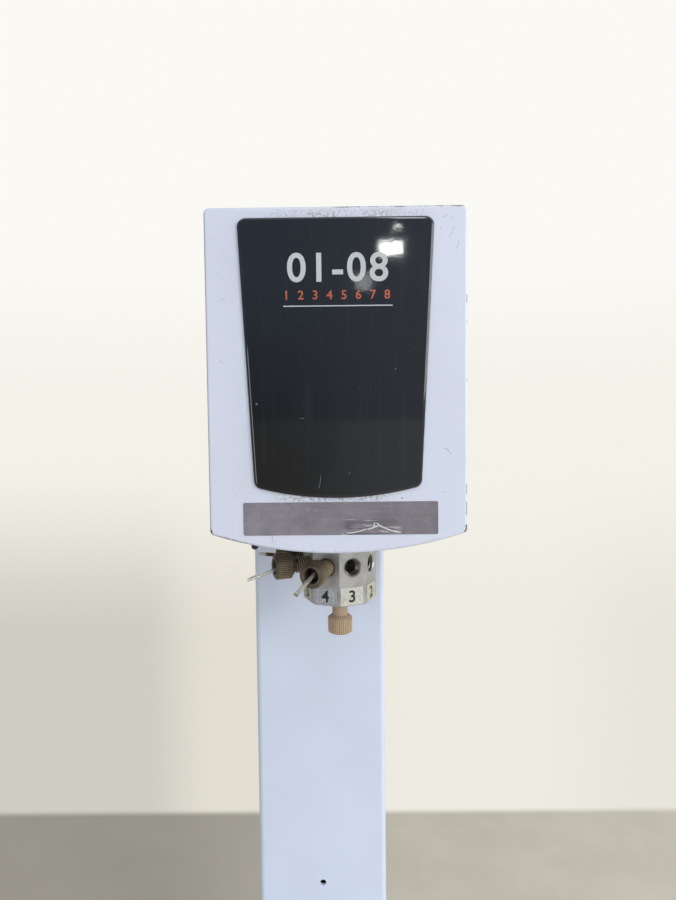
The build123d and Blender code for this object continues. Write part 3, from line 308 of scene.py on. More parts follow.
edge_nicks = scratches(x, z, (
    (44.5, 418.6, 89, 1.5, 0.22), (44.55, 410.8, 89, 0.7, 0.16), (44.5, 353.5, 89, 1.9, 0.20),
    (44.5, 346.8, 89, 2.6, 0.22), (44.3, 339.8, 89, 1.6, 0.40), (22.1, 350.6, 89, 0.35, 0.30)))
tone = blend_colours(times(scored, 0.7), tone, "7C7F8A")
set_inputs(shader, {"Base Color": blend_colours(times(edge_nicks, 0.85), tone, "4A4644")})
wear("head_cover", cover_paint)


# ---------------------------------------------------------------- Plated and turned metal
# Zinc-plated sheet for the chassis, floor and brackets, stainless for the valve, aluminium for
# the drive's plates, brass for the pillars: each with its own tint and machining lines.
def metal(name, colour, rough, lines=(1, 1, 1), grain=0.0004, smudge=0.5):
    """Bare metal; `lines` is the stretch of its grain along X, Y and Z, as from a cutter."""
    finish, shader, where = new_finish(name)
    fine = noise(stretched(where, lines), grain)
    cloud = noise(where, 0.012, detail=4.0)
    dark = tuple(0.55 * c for c in srgb(colour))
    spread = maths("ADD", fade(fine, 0.3, 0.7, rough - 0.08, rough + 0.08), fade(cloud, 0.4, 0.8, 0.0, 0.10))
    set_inputs(shader, {"Base Color": blend_colours(fade(cloud, 0.35, 0.75, 0.0, smudge), colour, dark),
                        "Metallic": 1.0, "Roughness": spread, "Normal": bump(fine, 0.3, 0.00005)})
    return finish


for finish, names in (
        (metal("Zinc plate", "B9BBBC", 0.38, grain=0.0012),
         ("base_floor", "head_chassis", "column_foot_bracket", "column_head_bracket", "control_socket")),
        (metal("Blued steel", "5B5F63", 0.5, grain=0.003), ("ballast_plate",)),
        (metal("Machined aluminium", "C6C8CA", 0.34, lines=(1, 8, 1)),
         ("tray_blocks", "motor_plate", "shaft_coupling")),
        (metal("Turned stainless", "B4B2AC", 0.3, lines=(0.5, 0.5, 4)),
         ("valve_cap", "rotor_stem", "motor_shaft", "preload_washers")),
        (metal("Brass", "C9A75B", 0.3), ("motor_pillars", "board_standoffs"))):
    for name in names:
        wear(name, finish)


# ---------------------------------------------------------------- Operator panel
# Thick dark film on a raised plate with a rolled rim. It is glossy, slightly wavy, and carries
# faint upright wipe marks and dust; the printing is silk-screened in pale grey and orange.
panel_finish, shader, where = new_finish("Panel film")
x, y, z = axes(where)
wipes = noise(stretched(where, (1, 1, 0.06)), 0.0022, detail=4.0, roughness=0.7)
# Painted light: the film is darker low down and lighter towards its top and its right side.
painted_light_up = fade(z, panel_low.z + 0.01, panel_low.z + 0.080)
tone = blend_colours(painted_light_up, "18191B", "232931")
tone = blend_colours(times(fade(x, -0.03, 0.03), 0.6), tone, "2F3237")
tone = blend_colours(fade(wipes, 0.50, 0.80, 0.0, 0.05), tone, "6C727A")
tone = blend_colours(fade(noise(where, 0.0011, detail=2.0), 0.76, 0.82, 0.0, 0.30), tone, "8C8F92")
nicks = scratches(x, z, (
    (-6.1, 356.6, 80, 2.6, 0.11), (4.0, 359.5, 10, 0.25, 0.22), (-12.0, 378.5, 4, 0.9, 0.10),
    (-27.5, 383.5, 20, 0.4, 0.35), (23.5, 352.6, 25, 0.7, 0.14), (20.0, 395.0, 60, 0.3, 0.2)))
wave = noise(where, 0.014, detail=1.0)
peel = noise(where, 0.0009, detail=2.0)
set_inputs(shader, {"Base Color": blend_colours(times(nicks, 0.55), tone, "8F969C"),
                    "Roughness": fade(wipes, 0.3, 0.8, 0.030, 0.045),
                    "Normal": bump(maths("ADD", wave, times(peel, 0.16)), 0.028, 0.0010)})
wear("front_panel", panel_finish)


def ink(name, colour):
    """Screen-printed ink, a little uneven where it has been rubbed."""
    finish, shader, where = new_finish(name)
    rubbed = fade(noise(where, 0.0007, detail=4.0), 0.35, 0.75, 0.0, 0.25)
    set_inputs(shader, {"Base Color": blend_colours(rubbed, colour, tuple(0.6 * c for c in srgb(colour))),
                        "Roughness": fade(rubbed, 0.0, 0.3, 0.50, 0.65)})
    return finish


def new_object(name, data):
    """An object in the scene that holds some data."""
    thing = bpy.data.objects.new(name, data)
    bpy.context.scene.collection.objects.link(thing)
    return thing


def finished(work, name, sharp=None):
    """Mesh of a bmesh, smooth except at edges of `sharp` degrees and over, where that is given."""
    mesh = bpy.data.meshes.new(name)
    work.to_mesh(mesh)
    work.free()
    if sharp:
        for face in mesh.polygons:
            face.use_smooth = True
        mesh.set_sharp_from_angle(angle=radians(sharp))
    return mesh


def keep(piece_name, mesh, finish, body, replaced=()):
    """Makes a piece of a finished mesh: its material, its body and the nodes it stands for."""
    piece = new_object(piece_name, mesh)
    mesh.materials.clear()
    mesh.materials.append(finish)
    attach(piece, body)
    if replaced:
        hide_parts(*replaced)


def lettering(text, height, depth, place_at, bold=0.012, spacing=1.0):
    """Mesh of plain numerals `height` tall, centred on the origin of a placing matrix."""
    curve = bpy.data.curves.new("numerals", "FONT")
    curve.body = text
    curve.size = height / 0.69
    curve.extrude = depth / 2
    curve.offset = height * bold
    curve.space_character = spacing
    curve.align_x = curve.align_y = "CENTER"
    curve.resolution_u = 6
    holder = new_object("numerals", curve)
    bpy.context.view_layer.update()
    mesh = bpy.data.meshes.new_from_object(holder)
    bpy.data.objects.remove(holder)
    points = [v.co for v in mesh.vertices]
    middle = [(min(p[i] for p in points) + max(p[i] for p in points)) / 2 for i in (0, 1)]
    mesh.transform(place_at @ Matrix.Translation((-middle[0], -middle[1], 0)))
    return mesh


print_depth = 0.06 * mm
print_x, print_y = 0.6 * mm, panel_low.y - print_depth / 2


def on_panel(drop):
    """Places flat work on the panel's front, `drop` below its top: X to the right, Y up."""
    return Matrix.Translation((print_x, print_y, panel_high.z - drop)) @ Matrix.Rotation(pi / 2, 4, "X")


pale_ink = ink("Pale ink", "B9BEC3")
keep("panel_range", lettering("01-08", 9.3 * mm, print_depth, on_panel(16.9 * mm), bold=0.022, spacing=1.12),
     pale_ink, "root")
keep("panel_ports", lettering("1  2  3  4  5  6  7  8", 2.9 * mm, print_depth, on_panel(26.1 * mm),
                              bold=0.015, spacing=1.07),
     ink("Orange ink", "B4583F"), "root")
rule = bmesh.new()
bmesh.ops.create_cube(rule, size=1.0, matrix=Matrix.Translation((print_x, print_y, panel_high.z - 29.8 * mm))
                      @ Matrix.Diagonal((37 * mm, print_depth, 0.35 * mm, 1)))
keep("panel_rule", finished(rule, "panel_rule"), pale_ink, "root")


# ---------------------------------------------------------------- Metallic strip
# Satin silvered film stuck below the panel. It is blank, with a crease and bright torn
# scratches near its lower edge where something has scraped it.
strip_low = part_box("label_strip")[0]
strip_finish, shader, where = new_finish("Silvered film")
x, y, z = axes(where)
brushed = stretched(where, (0.05, 1, 1))
hairs = noise(brushed, 0.00035)
slanting = stretched(where, (0.12, 1, 1), Matrix.Rotation(radians(17), 3, "Y").to_euler())
creased_part = times(fade(x, 0.0005, 0.0035), fade(x, 0.0225, 0.0190),
                     fade(z, strip_low.z + 0.0068, strip_low.z + 0.0036))
torn = times(fade(noise(slanting, 0.0014, detail=2.0, distortion=0.5), 0.56, 0.62), creased_part)
folds = noise(slanting, 0.0022, detail=1.0, distortion=0.8)
shaded_fold = times(fade(folds, 0.52, 0.40), creased_part)
tears = scratches(x, z, (
    (6.2, 338.9, 11, 3.9, 0.28), (11.6, 340.2, 18, 2.0, 0.32), (17.5, 339.6, -20, 4.6, 0.30),
    (14.2, 341.1, -38, 1.5, 0.26), (12.3, 341.5, 62, 0.9, 0.26), (15.6, 339.0, -10, 2.0, 0.16)))
shadows = scratches(x, z, (
    (9.4, 340.3, 12, 3.2, 0.16), (18.2, 340.1, -21, 3.4, 0.15), (14.5, 339.9, 80, 1.0, 0.22),
    (13.0, 340.9, 40, 0.9, 0.15)))
tone = blend_colours(fade(noise(where, 0.009, detail=4.0), 0.3, 0.75, 0.0, 0.6), "8B8791", "726E79")
tone = blend_colours(fade(noise(brushed, 0.0012, detail=2.0), 0.45, 0.7, 0.0, 0.12), tone, "A5A1AA")
patches = noise(where, 0.0042, detail=4.0, roughness=0.65)
tone = blend_colours(fade(patches, 0.48, 0.72, 0.0, 0.45), tone, "A19DA6")
tone = blend_colours(times(shaded_fold, 0.6), tone, "55525A")
tone = blend_colours(times(torn, 0.7), tone, "C9C8CC")
tone = blend_colours(times(shadows, 0.7), tone, "3F3D44")
raised = maths("ADD", times(folds, creased_part, 1.6), maths("ADD", torn, tears))
height = maths("ADD", times(hairs, 0.12), raised)
set_inputs(shader, {"Base Color": blend_colours(tears, tone, "DEDFE2"), "Metallic": 0.6,
                    "Roughness": fade(hairs, 0.3, 0.7, 0.36, 0.50), "Normal": bump(height, 0.6, 0.0004)})
wear("label_strip", strip_finish)


# ---------------------------------------------------------------- Moulded pieces
# The nylon stud under the head, the rubber grommet and feet, and plastic or enamelled pieces of
# the drive: one smooth moulded skin with pale scuffing, in each piece's own colour.
def moulded(name, colour, rough, pale=0.3):
    """Moulded plastic or rubber with a fine skin and a little pale scuffing."""
    finish, shader, where = new_finish(name)
    skin = noise(where, 0.0012)
    scuff = fade(noise(where, 0.006, detail=5.0), 0.55, 0.8, 0.0, pale)
    paler = tuple(min(1.0, 0.12 + c * 1.5) for c in srgb(colour))
    set_inputs(shader, {"Base Color": blend_colours(scuff, colour, paler),
                        "Roughness": fade(skin, 0.3, 0.7, rough - 0.06, rough + 0.08),
                        "Normal": bump(skin, 0.25, 0.0001)})
    return finish


for finish, names in (
        (moulded("Black nylon", "1C1C1D", 0.45), ("locating_stud", "light_sensor")),
        (moulded("Black rubber", "202020", 0.7), ("rubber_feet", "cable_grommet")),
        (moulded("Disc plastic", "17181A", 0.4), ("encoder_disc",)),
        (moulded("Moulded packages", "1E1F21", 0.5), ("board_components",)),
        (moulded("Inlet plastic", "19191A", 0.4), ("power_inlet",)),
        (moulded("Motor paint", "1D1E20", 0.42), ("motor_body",)),
        (moulded("Filled polymer", "B09A74", 0.4), ("rotor_plug",))):
    for name in names:
        wear(name, finish)


# ---------------------------------------------------------------- Circuit board
# Green-masked glass laminate; the copper under the mask shows as slightly lighter tracks. It
# stands on brass pillars before the head's back panel.
board_finish, shader, where = new_finish("Board laminate")
tracks = add("ShaderNodeTexBrick", {"Vector": where, "Scale": 120.0, "Mortar Size": 0.03,
             "Color1": "1F6B45", "Color2": "1A5C3B", "Mortar": "2F8B5E"}).outputs["Color"]
set_inputs(shader, {"Base Color": tracks, "Roughness": fade(noise(where, 0.003), 0.3, 0.7, 0.25, 0.4)})
wear("circuit_board", board_finish)


# ---------------------------------------------------------------- Port block
# Octagon milled from stainless bar, its flats ground across and left satin, with a tapped
# port in each. The bottom edges are broken, and handling has left warm smudges.
block_low, block_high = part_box("valve_block")
axis_xy = Vector(((block_low.x + block_high.x) / 2, (block_low.y + block_high.y) / 2, 0))
port_height = 320.7 * mm
face_out = 13.5
face_at = face_out * mm
thread_pitch = 25.4 / 28 * mm
block_finish, shader, where = new_finish("Ground stainless")
ground = noise(stretched(where, (0.15, 0.15, 2.2)), 0.0003, detail=4.0)
stain = noise(where, 0.007, detail=5.0, distortion=0.5)
tone = blend_colours(fade(stain, 0.35, 0.72, 0.0, 0.55), "AEAFB1", "858483")
tone = blend_colours(fade(noise(where, 0.0008), 0.66, 0.74, 0.0, 0.5), tone, "5F5B55")
# Painted shade: the block darkens inside each tapped port, where little light reaches.
from_axis = vector_maths("MULTIPLY", vector_maths("SUBTRACT", where, axis_xy), (1, 1, 0))
off_level = maths("ABSOLUTE", maths("SUBTRACT", axes(where)["Z"], port_height))
port_shade = times(fade(vector_maths("LENGTH", from_axis), face_at - 0.2 * mm, face_at - 1.6 * mm),
                    fade(off_level, 3.9 * mm, 3.7 * mm))
set_inputs(shader, {"Base Color": blend_colours(times(port_shade, 0.8), tone, "2B2723"), "Metallic": 0.8,
                    "Roughness": fade(ground, 0.3, 0.7, 0.34, 0.52), "Normal": bump(ground, 0.25, 0.00006)})
wear("valve_block", block_finish)


def port_place(number):
    """Matrix that sends +Z out of a side port, +Y up and the origin to the valve's centre."""
    turn = radians(45 * (3.5 - number))
    right = Vector((cos(turn), sin(turn), 0))
    out = Vector((sin(turn), -cos(turn), 0))
    turned = Matrix((right, Vector((0, 0, 1)), out)).transposed().to_4x4()
    return Matrix.Translation(axis_xy + Vector((0, 0, port_height))) @ turned


def thread_ridge(work, root, crest, start, length, steps=28):
    """Sharp helical ridge from root to crest radius, wound along +Z."""
    flank = thread_pitch * 0.42
    corner = [(root, -flank), (crest, -0.06 * mm), (crest, 0.06 * mm), (root, flank)]
    verts = [work.verts.new((r, 0, start + flank + h)) for r, h in corner]
    edges = [work.edges.new(pair) for pair in zip(verts, verts[1:])]
    turns = (length - 2 * flank) / thread_pitch
    total = max(1, round(turns * steps))
    bmesh.ops.spin(work, geom=verts + edges, cent=(0, 0, 0), axis=(0, 0, 1),
                   dvec=(0, 0, thread_pitch / steps), angle=2 * pi * total / steps,
                   steps=total, use_merge=False)


open_ports = (1, 2, 3, 7, 8)
threads = bmesh.new()
for number in open_ports:
    part = bmesh.new()
    thread_ridge(part, 3.21 * mm, 2.70 * mm, face_at - 4.7 * mm, 4.1 * mm)
    bmesh.ops.transform(part, matrix=port_place(number), verts=part.verts)
    threads.from_mesh(finished(part, "thread"))
# The thread ridges are a darker copy of the block's stainless: painted shade inside the ports.
keep("port_threads", finished(threads, "port_threads"),
     metal("Shaded port thread", "6A645C", 0.32, grain=0.0003), "root")


# ---------------------------------------------------------------- Number stickers
# Small printed stickers below the ports, replaced over the years: some creamy and mottled,
# one cooler with a thin printed frame. Each carries its port's numeral.
sticker_finish, shader, where = new_finish("Sticker paper")
x, y, z = axes(where)
mottle = noise(where, 0.0010, detail=5.0, roughness=0.7)
patch = noise(where, 0.0045)
cream, cool, yellow = [blend_colours(fade(mottle, 0.35, 0.65), light, dark) for light, dark in (
    ("CBCBC4", "ACAEA8"), ("B6B8C0", "979AA3"), ("BEBDAE", "A3A292"))]
paper = blend_colours(maths("LESS_THAN", x, 0.0), cream, cool)
paper = blend_colours(maths("GREATER_THAN", maths("ABSOLUTE", x), 10.6 * mm), paper, yellow)
paper = blend_colours(fade(patch, 0.50, 0.70, 0.0, 0.35), paper, "8C8B7C")
set_inputs(shader, {"Base Color": paper, "Roughness": fade(mottle, 0.3, 0.7, 0.38, 0.6),
                    "Normal": bump(patch, 0.3, 0.0003)})
wear("port_labels", sticker_finish)

black_ink = ink("Black ink", "14151A")


def on_sticker(number, above_face):
    """Places flat work on a port's sticker, in mm off the block's face."""
    return port_place(number) @ Matrix.Translation((-0.4 * mm, -11.1 * mm, face_at + above_face * mm))


for number in range(1, 9):
    numeral = lettering(str(number), 4.4 * mm, 0.05 * mm, on_sticker(number, 0.18), bold=0.03)
    keep(f"numeral_{number}", numeral, black_ink, "root")
frame_work = bmesh.new()
half_wide, half_tall, line, line_depth = 4.25 * mm, 3.0 * mm, 0.12 * mm, 0.03 * mm
for sign in (-1, 1):
    for centre, size in (((0, sign * half_tall, 0), (2 * half_wide, line, line_depth, 1)),
                         ((sign * half_wide, 0, 0), (line, 2 * half_tall, line_depth, 1))):
        bmesh.ops.create_cube(frame_work, size=1.0, matrix=on_sticker(4, 0.165)
                              @ Matrix.Translation(centre) @ Matrix.Diagonal(size))
keep("sticker_frame", finished(frame_work, "sticker_frame"), ink("Grey ink", "7A7D90"), "root")


# ---------------------------------------------------------------- Finger-tight nuts
# Turned from tan engineering plastic: a ribbed head, a relieved neck, a 1/4-28 shank and a wide
# pocket for the tube. Painted shade darkens the grooves, the pocket, the neck, the thread roots and
# the side nuts' tops; a painted highlight lightens the rib tops and thread crests.
def nut_plastic(name, light, dark, deep, rubbed, grimy=0.5, top_shade=0.0):
    """Tan polymer, darker with painted shade where the piece's `recess` is high and paler with a
    painted highlight where it is below zero; `deep` and `rubbed` are their colours.

    The last argument is how much painted shade darkens the side that faces up.
    """
    finish, shader, where = new_finish(name)
    blotch = noise(where, 0.0035, detail=5.0)
    recess = add("ShaderNodeAttribute", tree=finish.node_tree, attribute_name="recess").outputs["Fac"]
    tone = blend_colours(fade(blotch, 0.35, 0.75, 0.0, grimy), light, dark)
    # Painted shade where `recess` is high, then a painted highlight where it is below zero.
    tone = blend_colours(recess, tone, deep)
    tone = blend_colours(fade(recess, 0.0, -0.5), tone, rubbed)
    tone = blend_colours(fade(noise(where, 0.0006, detail=2.0), 0.68, 0.76, 0.0, 0.35), tone, deep)
    # Painted shade on the side that faces up, under the head.
    shaded_top = fade(axes(where)["Z"], port_height + 1.0 * mm, port_height + 4.4 * mm, 0.0, top_shade)
    set_inputs(shader, {"Base Color": blend_colours(shaded_top, tone, deep),
                        "Roughness": fade(blotch, 0.3, 0.7, 0.40, 0.56), "Subsurface Weight": 0.05,
                        "Subsurface Radius": (0.001, 0.0006, 0.0004),
                        "Normal": bump(noise(where, 0.0005), 0.2, 0.00008)})
    return finish


def spun(work, profile, steps, closed):
    """Skin spun about Z from (radius, height) points, whose outline may join up."""
    verts = [work.verts.new((r, 0, h)) for r, h in profile]
    edges = [work.edges.new(pair) for pair in zip(verts, verts[1:] + verts[:1] if closed else verts[1:])]
    bmesh.ops.spin(work, geom=verts + edges, cent=(0, 0, 0), axis=(0, 0, 1), angle=2 * pi,
                   steps=steps, use_merge=True)
    bmesh.ops.remove_doubles(work, verts=work.verts, dist=1e-7)


nut_core, nut_rim, nut_pocket, nut_bore = 4.62, 4.93, 2.9, 0.95
thread_root, thread_crest = 2.56, 3.12
nut_head_length, shank_length = 7.2, 10.3
rib_count = 36


def ribbed_nut(shank_end, head_at, relief, neck, groove, place_at):
    """A nut along +Z of a placing matrix, from its shank's end to its head's face, in mm.

    `relief` is the length of the plain neck under the head, and `groove` how dark the painted shade
    in its grooves and on its neck is.
    """
    work = bmesh.new()
    nut_end = head_at + nut_head_length
    neck_from = head_at - relief
    profile = [(nut_bore, shank_end), (2.3, shank_end), (thread_root + 0.06, shank_end + 0.35),
               (thread_root + 0.06, neck_from), (neck, neck_from + 0.15), (neck, head_at), (3.5, head_at),
               (3.9, head_at + 0.05), (nut_core, head_at + 0.95), (nut_core, nut_end - 0.75),
               (nut_core - 0.25, nut_end - 0.25), (nut_core - 0.75, nut_end), (nut_pocket + 0.25, nut_end),
               (nut_pocket, nut_end - 0.25), (nut_pocket, nut_end - 6.0), (nut_pocket - 0.6, nut_end - 6.4),
               (nut_bore, nut_end - 7.0)]
    spun(work, [(r * mm, h * mm) for r, h in profile], steps=72, closed=True)
    thread_ridge(work, thread_root * mm, thread_crest * mm, (shank_end + 0.3) * mm,
                 (neck_from - shank_end - 0.2) * mm, steps=36)
    rib_start, rib_end = head_at + 0.75, nut_end - 0.55
    rib_depth = nut_rim - nut_core + 0.15
    rib_width = 2 * pi * nut_core / rib_count * 0.56
    for turn in range(rib_count):
        rib = bmesh.ops.create_cube(work, size=1.0, matrix=Matrix.Diagonal(
            (rib_depth * mm, rib_width * mm, (rib_end - rib_start) * mm, 1)))["verts"]
        outer = [e for e in {e for v in rib for e in v.link_edges} if all(v.co.x > 0 for v in e.verts)]
        made = bmesh.ops.bevel(work, geom=outer, offset=0.13 * mm, segments=2, profile=0.5,
                               affect="EDGES", material=-1)
        shape = list({v for f in made["faces"] for v in f.verts} | {v for v in rib if v.is_valid})
        at = Matrix.Rotation(2 * pi * turn / rib_count, 4, "Z") @ Matrix.Translation(
            ((nut_rim - rib_depth / 2) * mm, 0, (rib_start + rib_end) / 2 * mm))
        bmesh.ops.transform(work, matrix=at, verts=shape)
    bmesh.ops.recalc_face_normals(work, faces=work.faces)
    # Painted shade and highlight: `recess` darkens the pocket, the grooves between the ribs, the neck and the
    # thread roots, and drops below zero to lighten the rib tops and thread crests.
    recess = work.verts.layers.float.new("recess")
    for vert in work.verts:
        radius, along = Vector(vert.co.xy).length / mm, vert.co.z / mm
        if along > head_at + 0.05:
            if radius < nut_pocket + 0.1:
                vert[recess] = min(1.0, 0.35 + 0.65 * (nut_end - along))
            else:
                vert[recess] = groove * min(1.0, max(-0.3, (nut_rim - 0.1 - radius) / 0.2))
        elif along < neck_from + 0.05:
            vert[recess] = 0.95 - 1.45 * min(1.0, max(0.0, (radius - thread_root - 0.1) / 0.4))
        else:
            vert[recess] = 0.6 * groove
    bmesh.ops.transform(work, matrix=place_at, verts=work.verts)
    return finished(work, "nut", sharp=35)


places = {str(number): port_place(number) for number in (4, 5, 6)}
places["common"] = Matrix.Translation(axis_xy + Vector((0, 0, port_height))) @ Matrix.Rotation(pi, 4, "X")
# The third colour is the painted shade in recesses and the fourth the painted highlight on crests. The side
# nuts' plastic is darker than the bottom nut's, partly grime and partly painted shade under the head, and the
# last value darkens their tops with painted shade.
shaded_old_plastic = nut_plastic("Tan polymer, handled", "84765F", "63594A", "231C14", "9C8A70",
                          grimy=0.8, top_shade=0.6)
clean_plastic = nut_plastic("Tan polymer", "BAA48B", "9A8671", "5F4E3D", "CBB69C")
side_exposed, bottom_exposed = 6.7, 7.2
bottom_face = 15.0
side_head = face_out + side_exposed
bottom_head = bottom_face + bottom_exposed
for label, at in places.items():
    if label == "common":
        head_at, relief, neck, groove, finish = bottom_head, 4.6, 3.12, 0.35, clean_plastic
    else:
        head_at, relief, neck, groove, finish = side_head, 1.1, 2.72, 0.6, shaded_old_plastic
    mesh = ribbed_nut(head_at - shank_length, head_at, relief, neck, groove, at)
    keep(f"ribbed_nut_{label}", mesh, finish, f"nut_body_{label}", [f"nut_{label}"])


# ---------------------------------------------------------------- Ferrules
# Off-white fluoropolymer cones that grip the tubes behind the nuts. They sit in the ports and
# show only when a fitting is drawn out.
ferrule_finish = moulded("Off-white polymer", "DAD6CB", 0.42, pale=0.1)
for label in places:
    wear(f"ferrule_{label}", ferrule_finish)


# ---------------------------------------------------------------- Cut tubes
# Short ends of 1.6 mm translucent tubing left in the fittings. They were nipped off with
# cutters, so the cut is a little flattened; the one in port 6 is brown next to its nut.
tube_finish, shader, where = new_finish("Translucent tubing")
cloudy = noise(where, 0.002)
# A brown patch on the tube next to the nut of port 6.
brown_spot = vector_maths("DISTANCE", where, (-29.2 * mm, 27.1 * mm, port_height))
tone = blend_colours(cloudy, "F6F6F3", "E2E2DD")
tone = blend_colours(fade(brown_spot, 2.6 * mm, 1.6 * mm), tone, "8A6D4C")
set_inputs(shader, {"Base Color": tone, "Transmission Weight": 0.8, "IOR": 1.35,
                    "Roughness": fade(cloudy, 0.3, 0.7, 0.05, 0.14)})

tube_radius, tube_bore = 0.8, 0.42
bend_at, bend_radius = 22.0, 10.0
nipped, spread, pinch = 1.2, 1.25, 0.7


def cut_tube(inner_end, tip, bend, lean, place_at):
    """Hollow tube along +Z of a placing matrix, in mm, that bends `lean` degrees round from down."""
    work = bmesh.new()
    for radius in (tube_radius, tube_bore):
        bmesh.ops.create_circle(work, segments=28, radius=radius * mm,
                                matrix=Matrix.Translation((0, 0, inner_end * mm)))
    first = list(work.edges)

    def pull(edges, way):
        """Draws the rings straight on and gives the new rings."""
        made = bmesh.ops.extrude_edge_only(work, edges=edges)["geom"]
        fresh = {v for v in made if isinstance(v, bmesh.types.BMVert)}
        bmesh.ops.translate(work, vec=way, verts=list(fresh))
        return [e for e in made if isinstance(e, bmesh.types.BMEdge) and set(e.verts) <= fresh]

    toward = Vector((-sin(radians(lean)), -cos(radians(lean)), 0))
    last, reached, way = first, inner_end, Vector((0, 0, 1))
    if bend:
        last = pull(last, way * (bend_at - inner_end) * mm)
        turned = bmesh.ops.spin(work, geom=last + list({v for e in last for v in e.verts}),
                                cent=(Vector((0, 0, bend_at)) + toward * bend_radius) * mm,
                                axis=way.cross(toward), angle=radians(bend), steps=8)["geom_last"]
        last = [e for e in turned if isinstance(e, bmesh.types.BMEdge)]
        way = Vector((0, 0, cos(radians(bend)))) + toward * sin(radians(bend))
        reached = bend_at + bend_radius * sin(radians(bend))
    last = pull(last, way * ((tip - reached) / cos(radians(bend)) - nipped) * mm)
    last = pull(last, way * nipped * mm)
    middle = sum((v.co for e in last for v in e.verts), Vector()) / (2 * len(last))
    across = way.cross(toward).normalized()
    through = way.cross(across)
    for vert in {v for e in last for v in e.verts}:
        offset = vert.co - middle
        vert.co = middle + across * offset.dot(across) * spread + through * offset.dot(through) * pinch
    bmesh.ops.bridge_loops(work, edges=first)
    bmesh.ops.bridge_loops(work, edges=last)
    bmesh.ops.remove_doubles(work, verts=work.verts, dist=1e-7)
    bmesh.ops.recalc_face_normals(work, faces=work.faces)
    bmesh.ops.transform(work, matrix=place_at, verts=work.verts)
    return finished(work, "cut_tube", sharp=50)


collar_length, cone_length, overlap = 1.3, 2.1, 0.05
ferrule_room = collar_length + cone_length - overlap
for label, head_at, tip, bend, lean in (("4", side_head, 35.5, 26, 23), ("5", side_head, 38.0, 15, 0),
                                        ("6", side_head, 36.8, 0, 0), ("common", bottom_head, 29.8, 0, 0)):
    mesh = cut_tube(head_at - shank_length - ferrule_room, tip, bend, lean, places[label])
    keep(f"cut_tube_{label}", mesh, tube_finish, f"tube_body_{label}", [f"tube_{label}"])


# ---------------------------------------------------------------- Machine screws
# Zinc-plated pan heads with a cross recess hold the cover, the column, the floor and the feet;
# the socket is held by two hexagonal jack screws. Screws that no one sees stay plain.
plated = metal("Plated screws", "BEBFBF", 0.28, grain=0.0008, smudge=0.35)
for name in ("ballast_screws", "foot_bolts", "head_bolts", "valve_screws", "coupling_screws", "motor_screws",
             "board_screws"):
    wear(name, plated)


def screw_spots(node_name, out):
    """Outer end, way and length of each solid of a CAD node; `out` gives the head's way."""
    work = bmesh.new()
    work.from_mesh(nodes[node_name].data)
    bmesh.ops.remove_doubles(work, verts=work.verts, dist=1e-6)
    left, spots = dict.fromkeys(work.verts), []
    while left:
        solid, edge = set(), [left.popitem()[0]]
        while edge:
            vert = edge.pop()
            solid.add(vert)
            for other in (e.other_vert(vert) for e in vert.link_edges):
                if other in left:
                    del left[other]
                    edge.append(other)
        low = Vector([min(v.co[i] for v in solid) for i in range(3)])
        high = Vector([max(v.co[i] for v in solid) for i in range(3)])
        middle = (low + high) / 2
        way = out(middle)
        length = abs((high - low).dot(way))
        spots.append((middle + way * length / 2, way, length))
    work.free()
    return spots


def cut_away(mesh, tool):
    """A mesh with another taken out of it."""
    pair = [new_object("work", shape) for shape in (mesh, tool)]
    cut = pair[0].modifiers.new("cut", "BOOLEAN")
    cut.operation, cut.solver, cut.object = "DIFFERENCE", "EXACT", pair[1]
    graph = bpy.context.evaluated_depsgraph_get()
    result = bpy.data.meshes.new_from_object(pair[0].evaluated_get(graph))
    for holder in pair:
        bpy.data.objects.remove(holder)
    return result


def pan_head(head, height, shank, length):
    """Screw along -Z with its head's top at the origin, in metres."""
    work = bmesh.new()
    profile = [(0, -length), (shank * 0.75, -length), (shank, -length + shank * 0.25), (shank, -height),
               (head * 0.96, -height), (head, -height * 0.9), (head * 0.97, -height * 0.55),
               (head * 0.82, -height * 0.20), (head * 0.5, -height * 0.03), (0, 0)]
    spun(work, profile, steps=32, closed=False)
    bmesh.ops.recalc_face_normals(work, faces=work.faces)
    solid = finished(work, "pan_head")
    depth = height * 0.7
    for turn in (0, pi / 2):
        slot = bmesh.new()
        bmesh.ops.create_cube(slot, size=1.0, matrix=Matrix.Rotation(turn, 4, "Z") @ Matrix.Diagonal(
            (head * 1.05, head * 0.26, 2 * depth, 1)))
        for vert in slot.verts:
            if vert.co.z < 0:
                vert.co.xy = vert.co.xy * 0.55
        solid = cut_away(solid, finished(slot, "slot"))
    return solid


def jack_head(head, height, shank, length):
    """Hexagonal jack screw with a threaded mouth, along -Z with its end at the origin."""
    work, mouth = bmesh.new(), bmesh.new()
    bmesh.ops.create_cone(work, cap_ends=True, segments=6, radius1=head, radius2=head, depth=height,
                          matrix=Matrix.Translation((0, 0, -height / 2)))
    rims = [e for e in work.edges if abs(e.verts[0].co.z - e.verts[1].co.z) < 1e-7]
    bmesh.ops.bevel(work, geom=rims, offset=head * 0.1, segments=2, profile=0.5, affect="EDGES", material=-1)
    bmesh.ops.create_cone(work, cap_ends=True, segments=24, radius1=shank, radius2=shank,
                          depth=length - height, matrix=Matrix.Translation((0, 0, -(length + height) / 2)))
    bmesh.ops.create_cone(mouth, cap_ends=True, segments=24, radius1=head * 0.5, radius2=head * 0.62,
                          depth=height * 1.4)
    return cut_away(finished(work, "jack_head"), finished(mouth, "mouth"))


def outward_x(spot):
    """Towards the nearer side of the column or the head."""
    return Vector((1 if spot.x > (column_low.x + column_high.x) / 2 else -1, 0, 0))


def up_or_down(spot):
    """Down for the screws below the drive, up for those on the motor's plate."""
    drive_middle = 360 * mm
    return Vector((0, 0, -1 if spot.z < drive_middle else 1))


def backward(spot):
    """Out of the back."""
    return Vector((0, 1, 0))


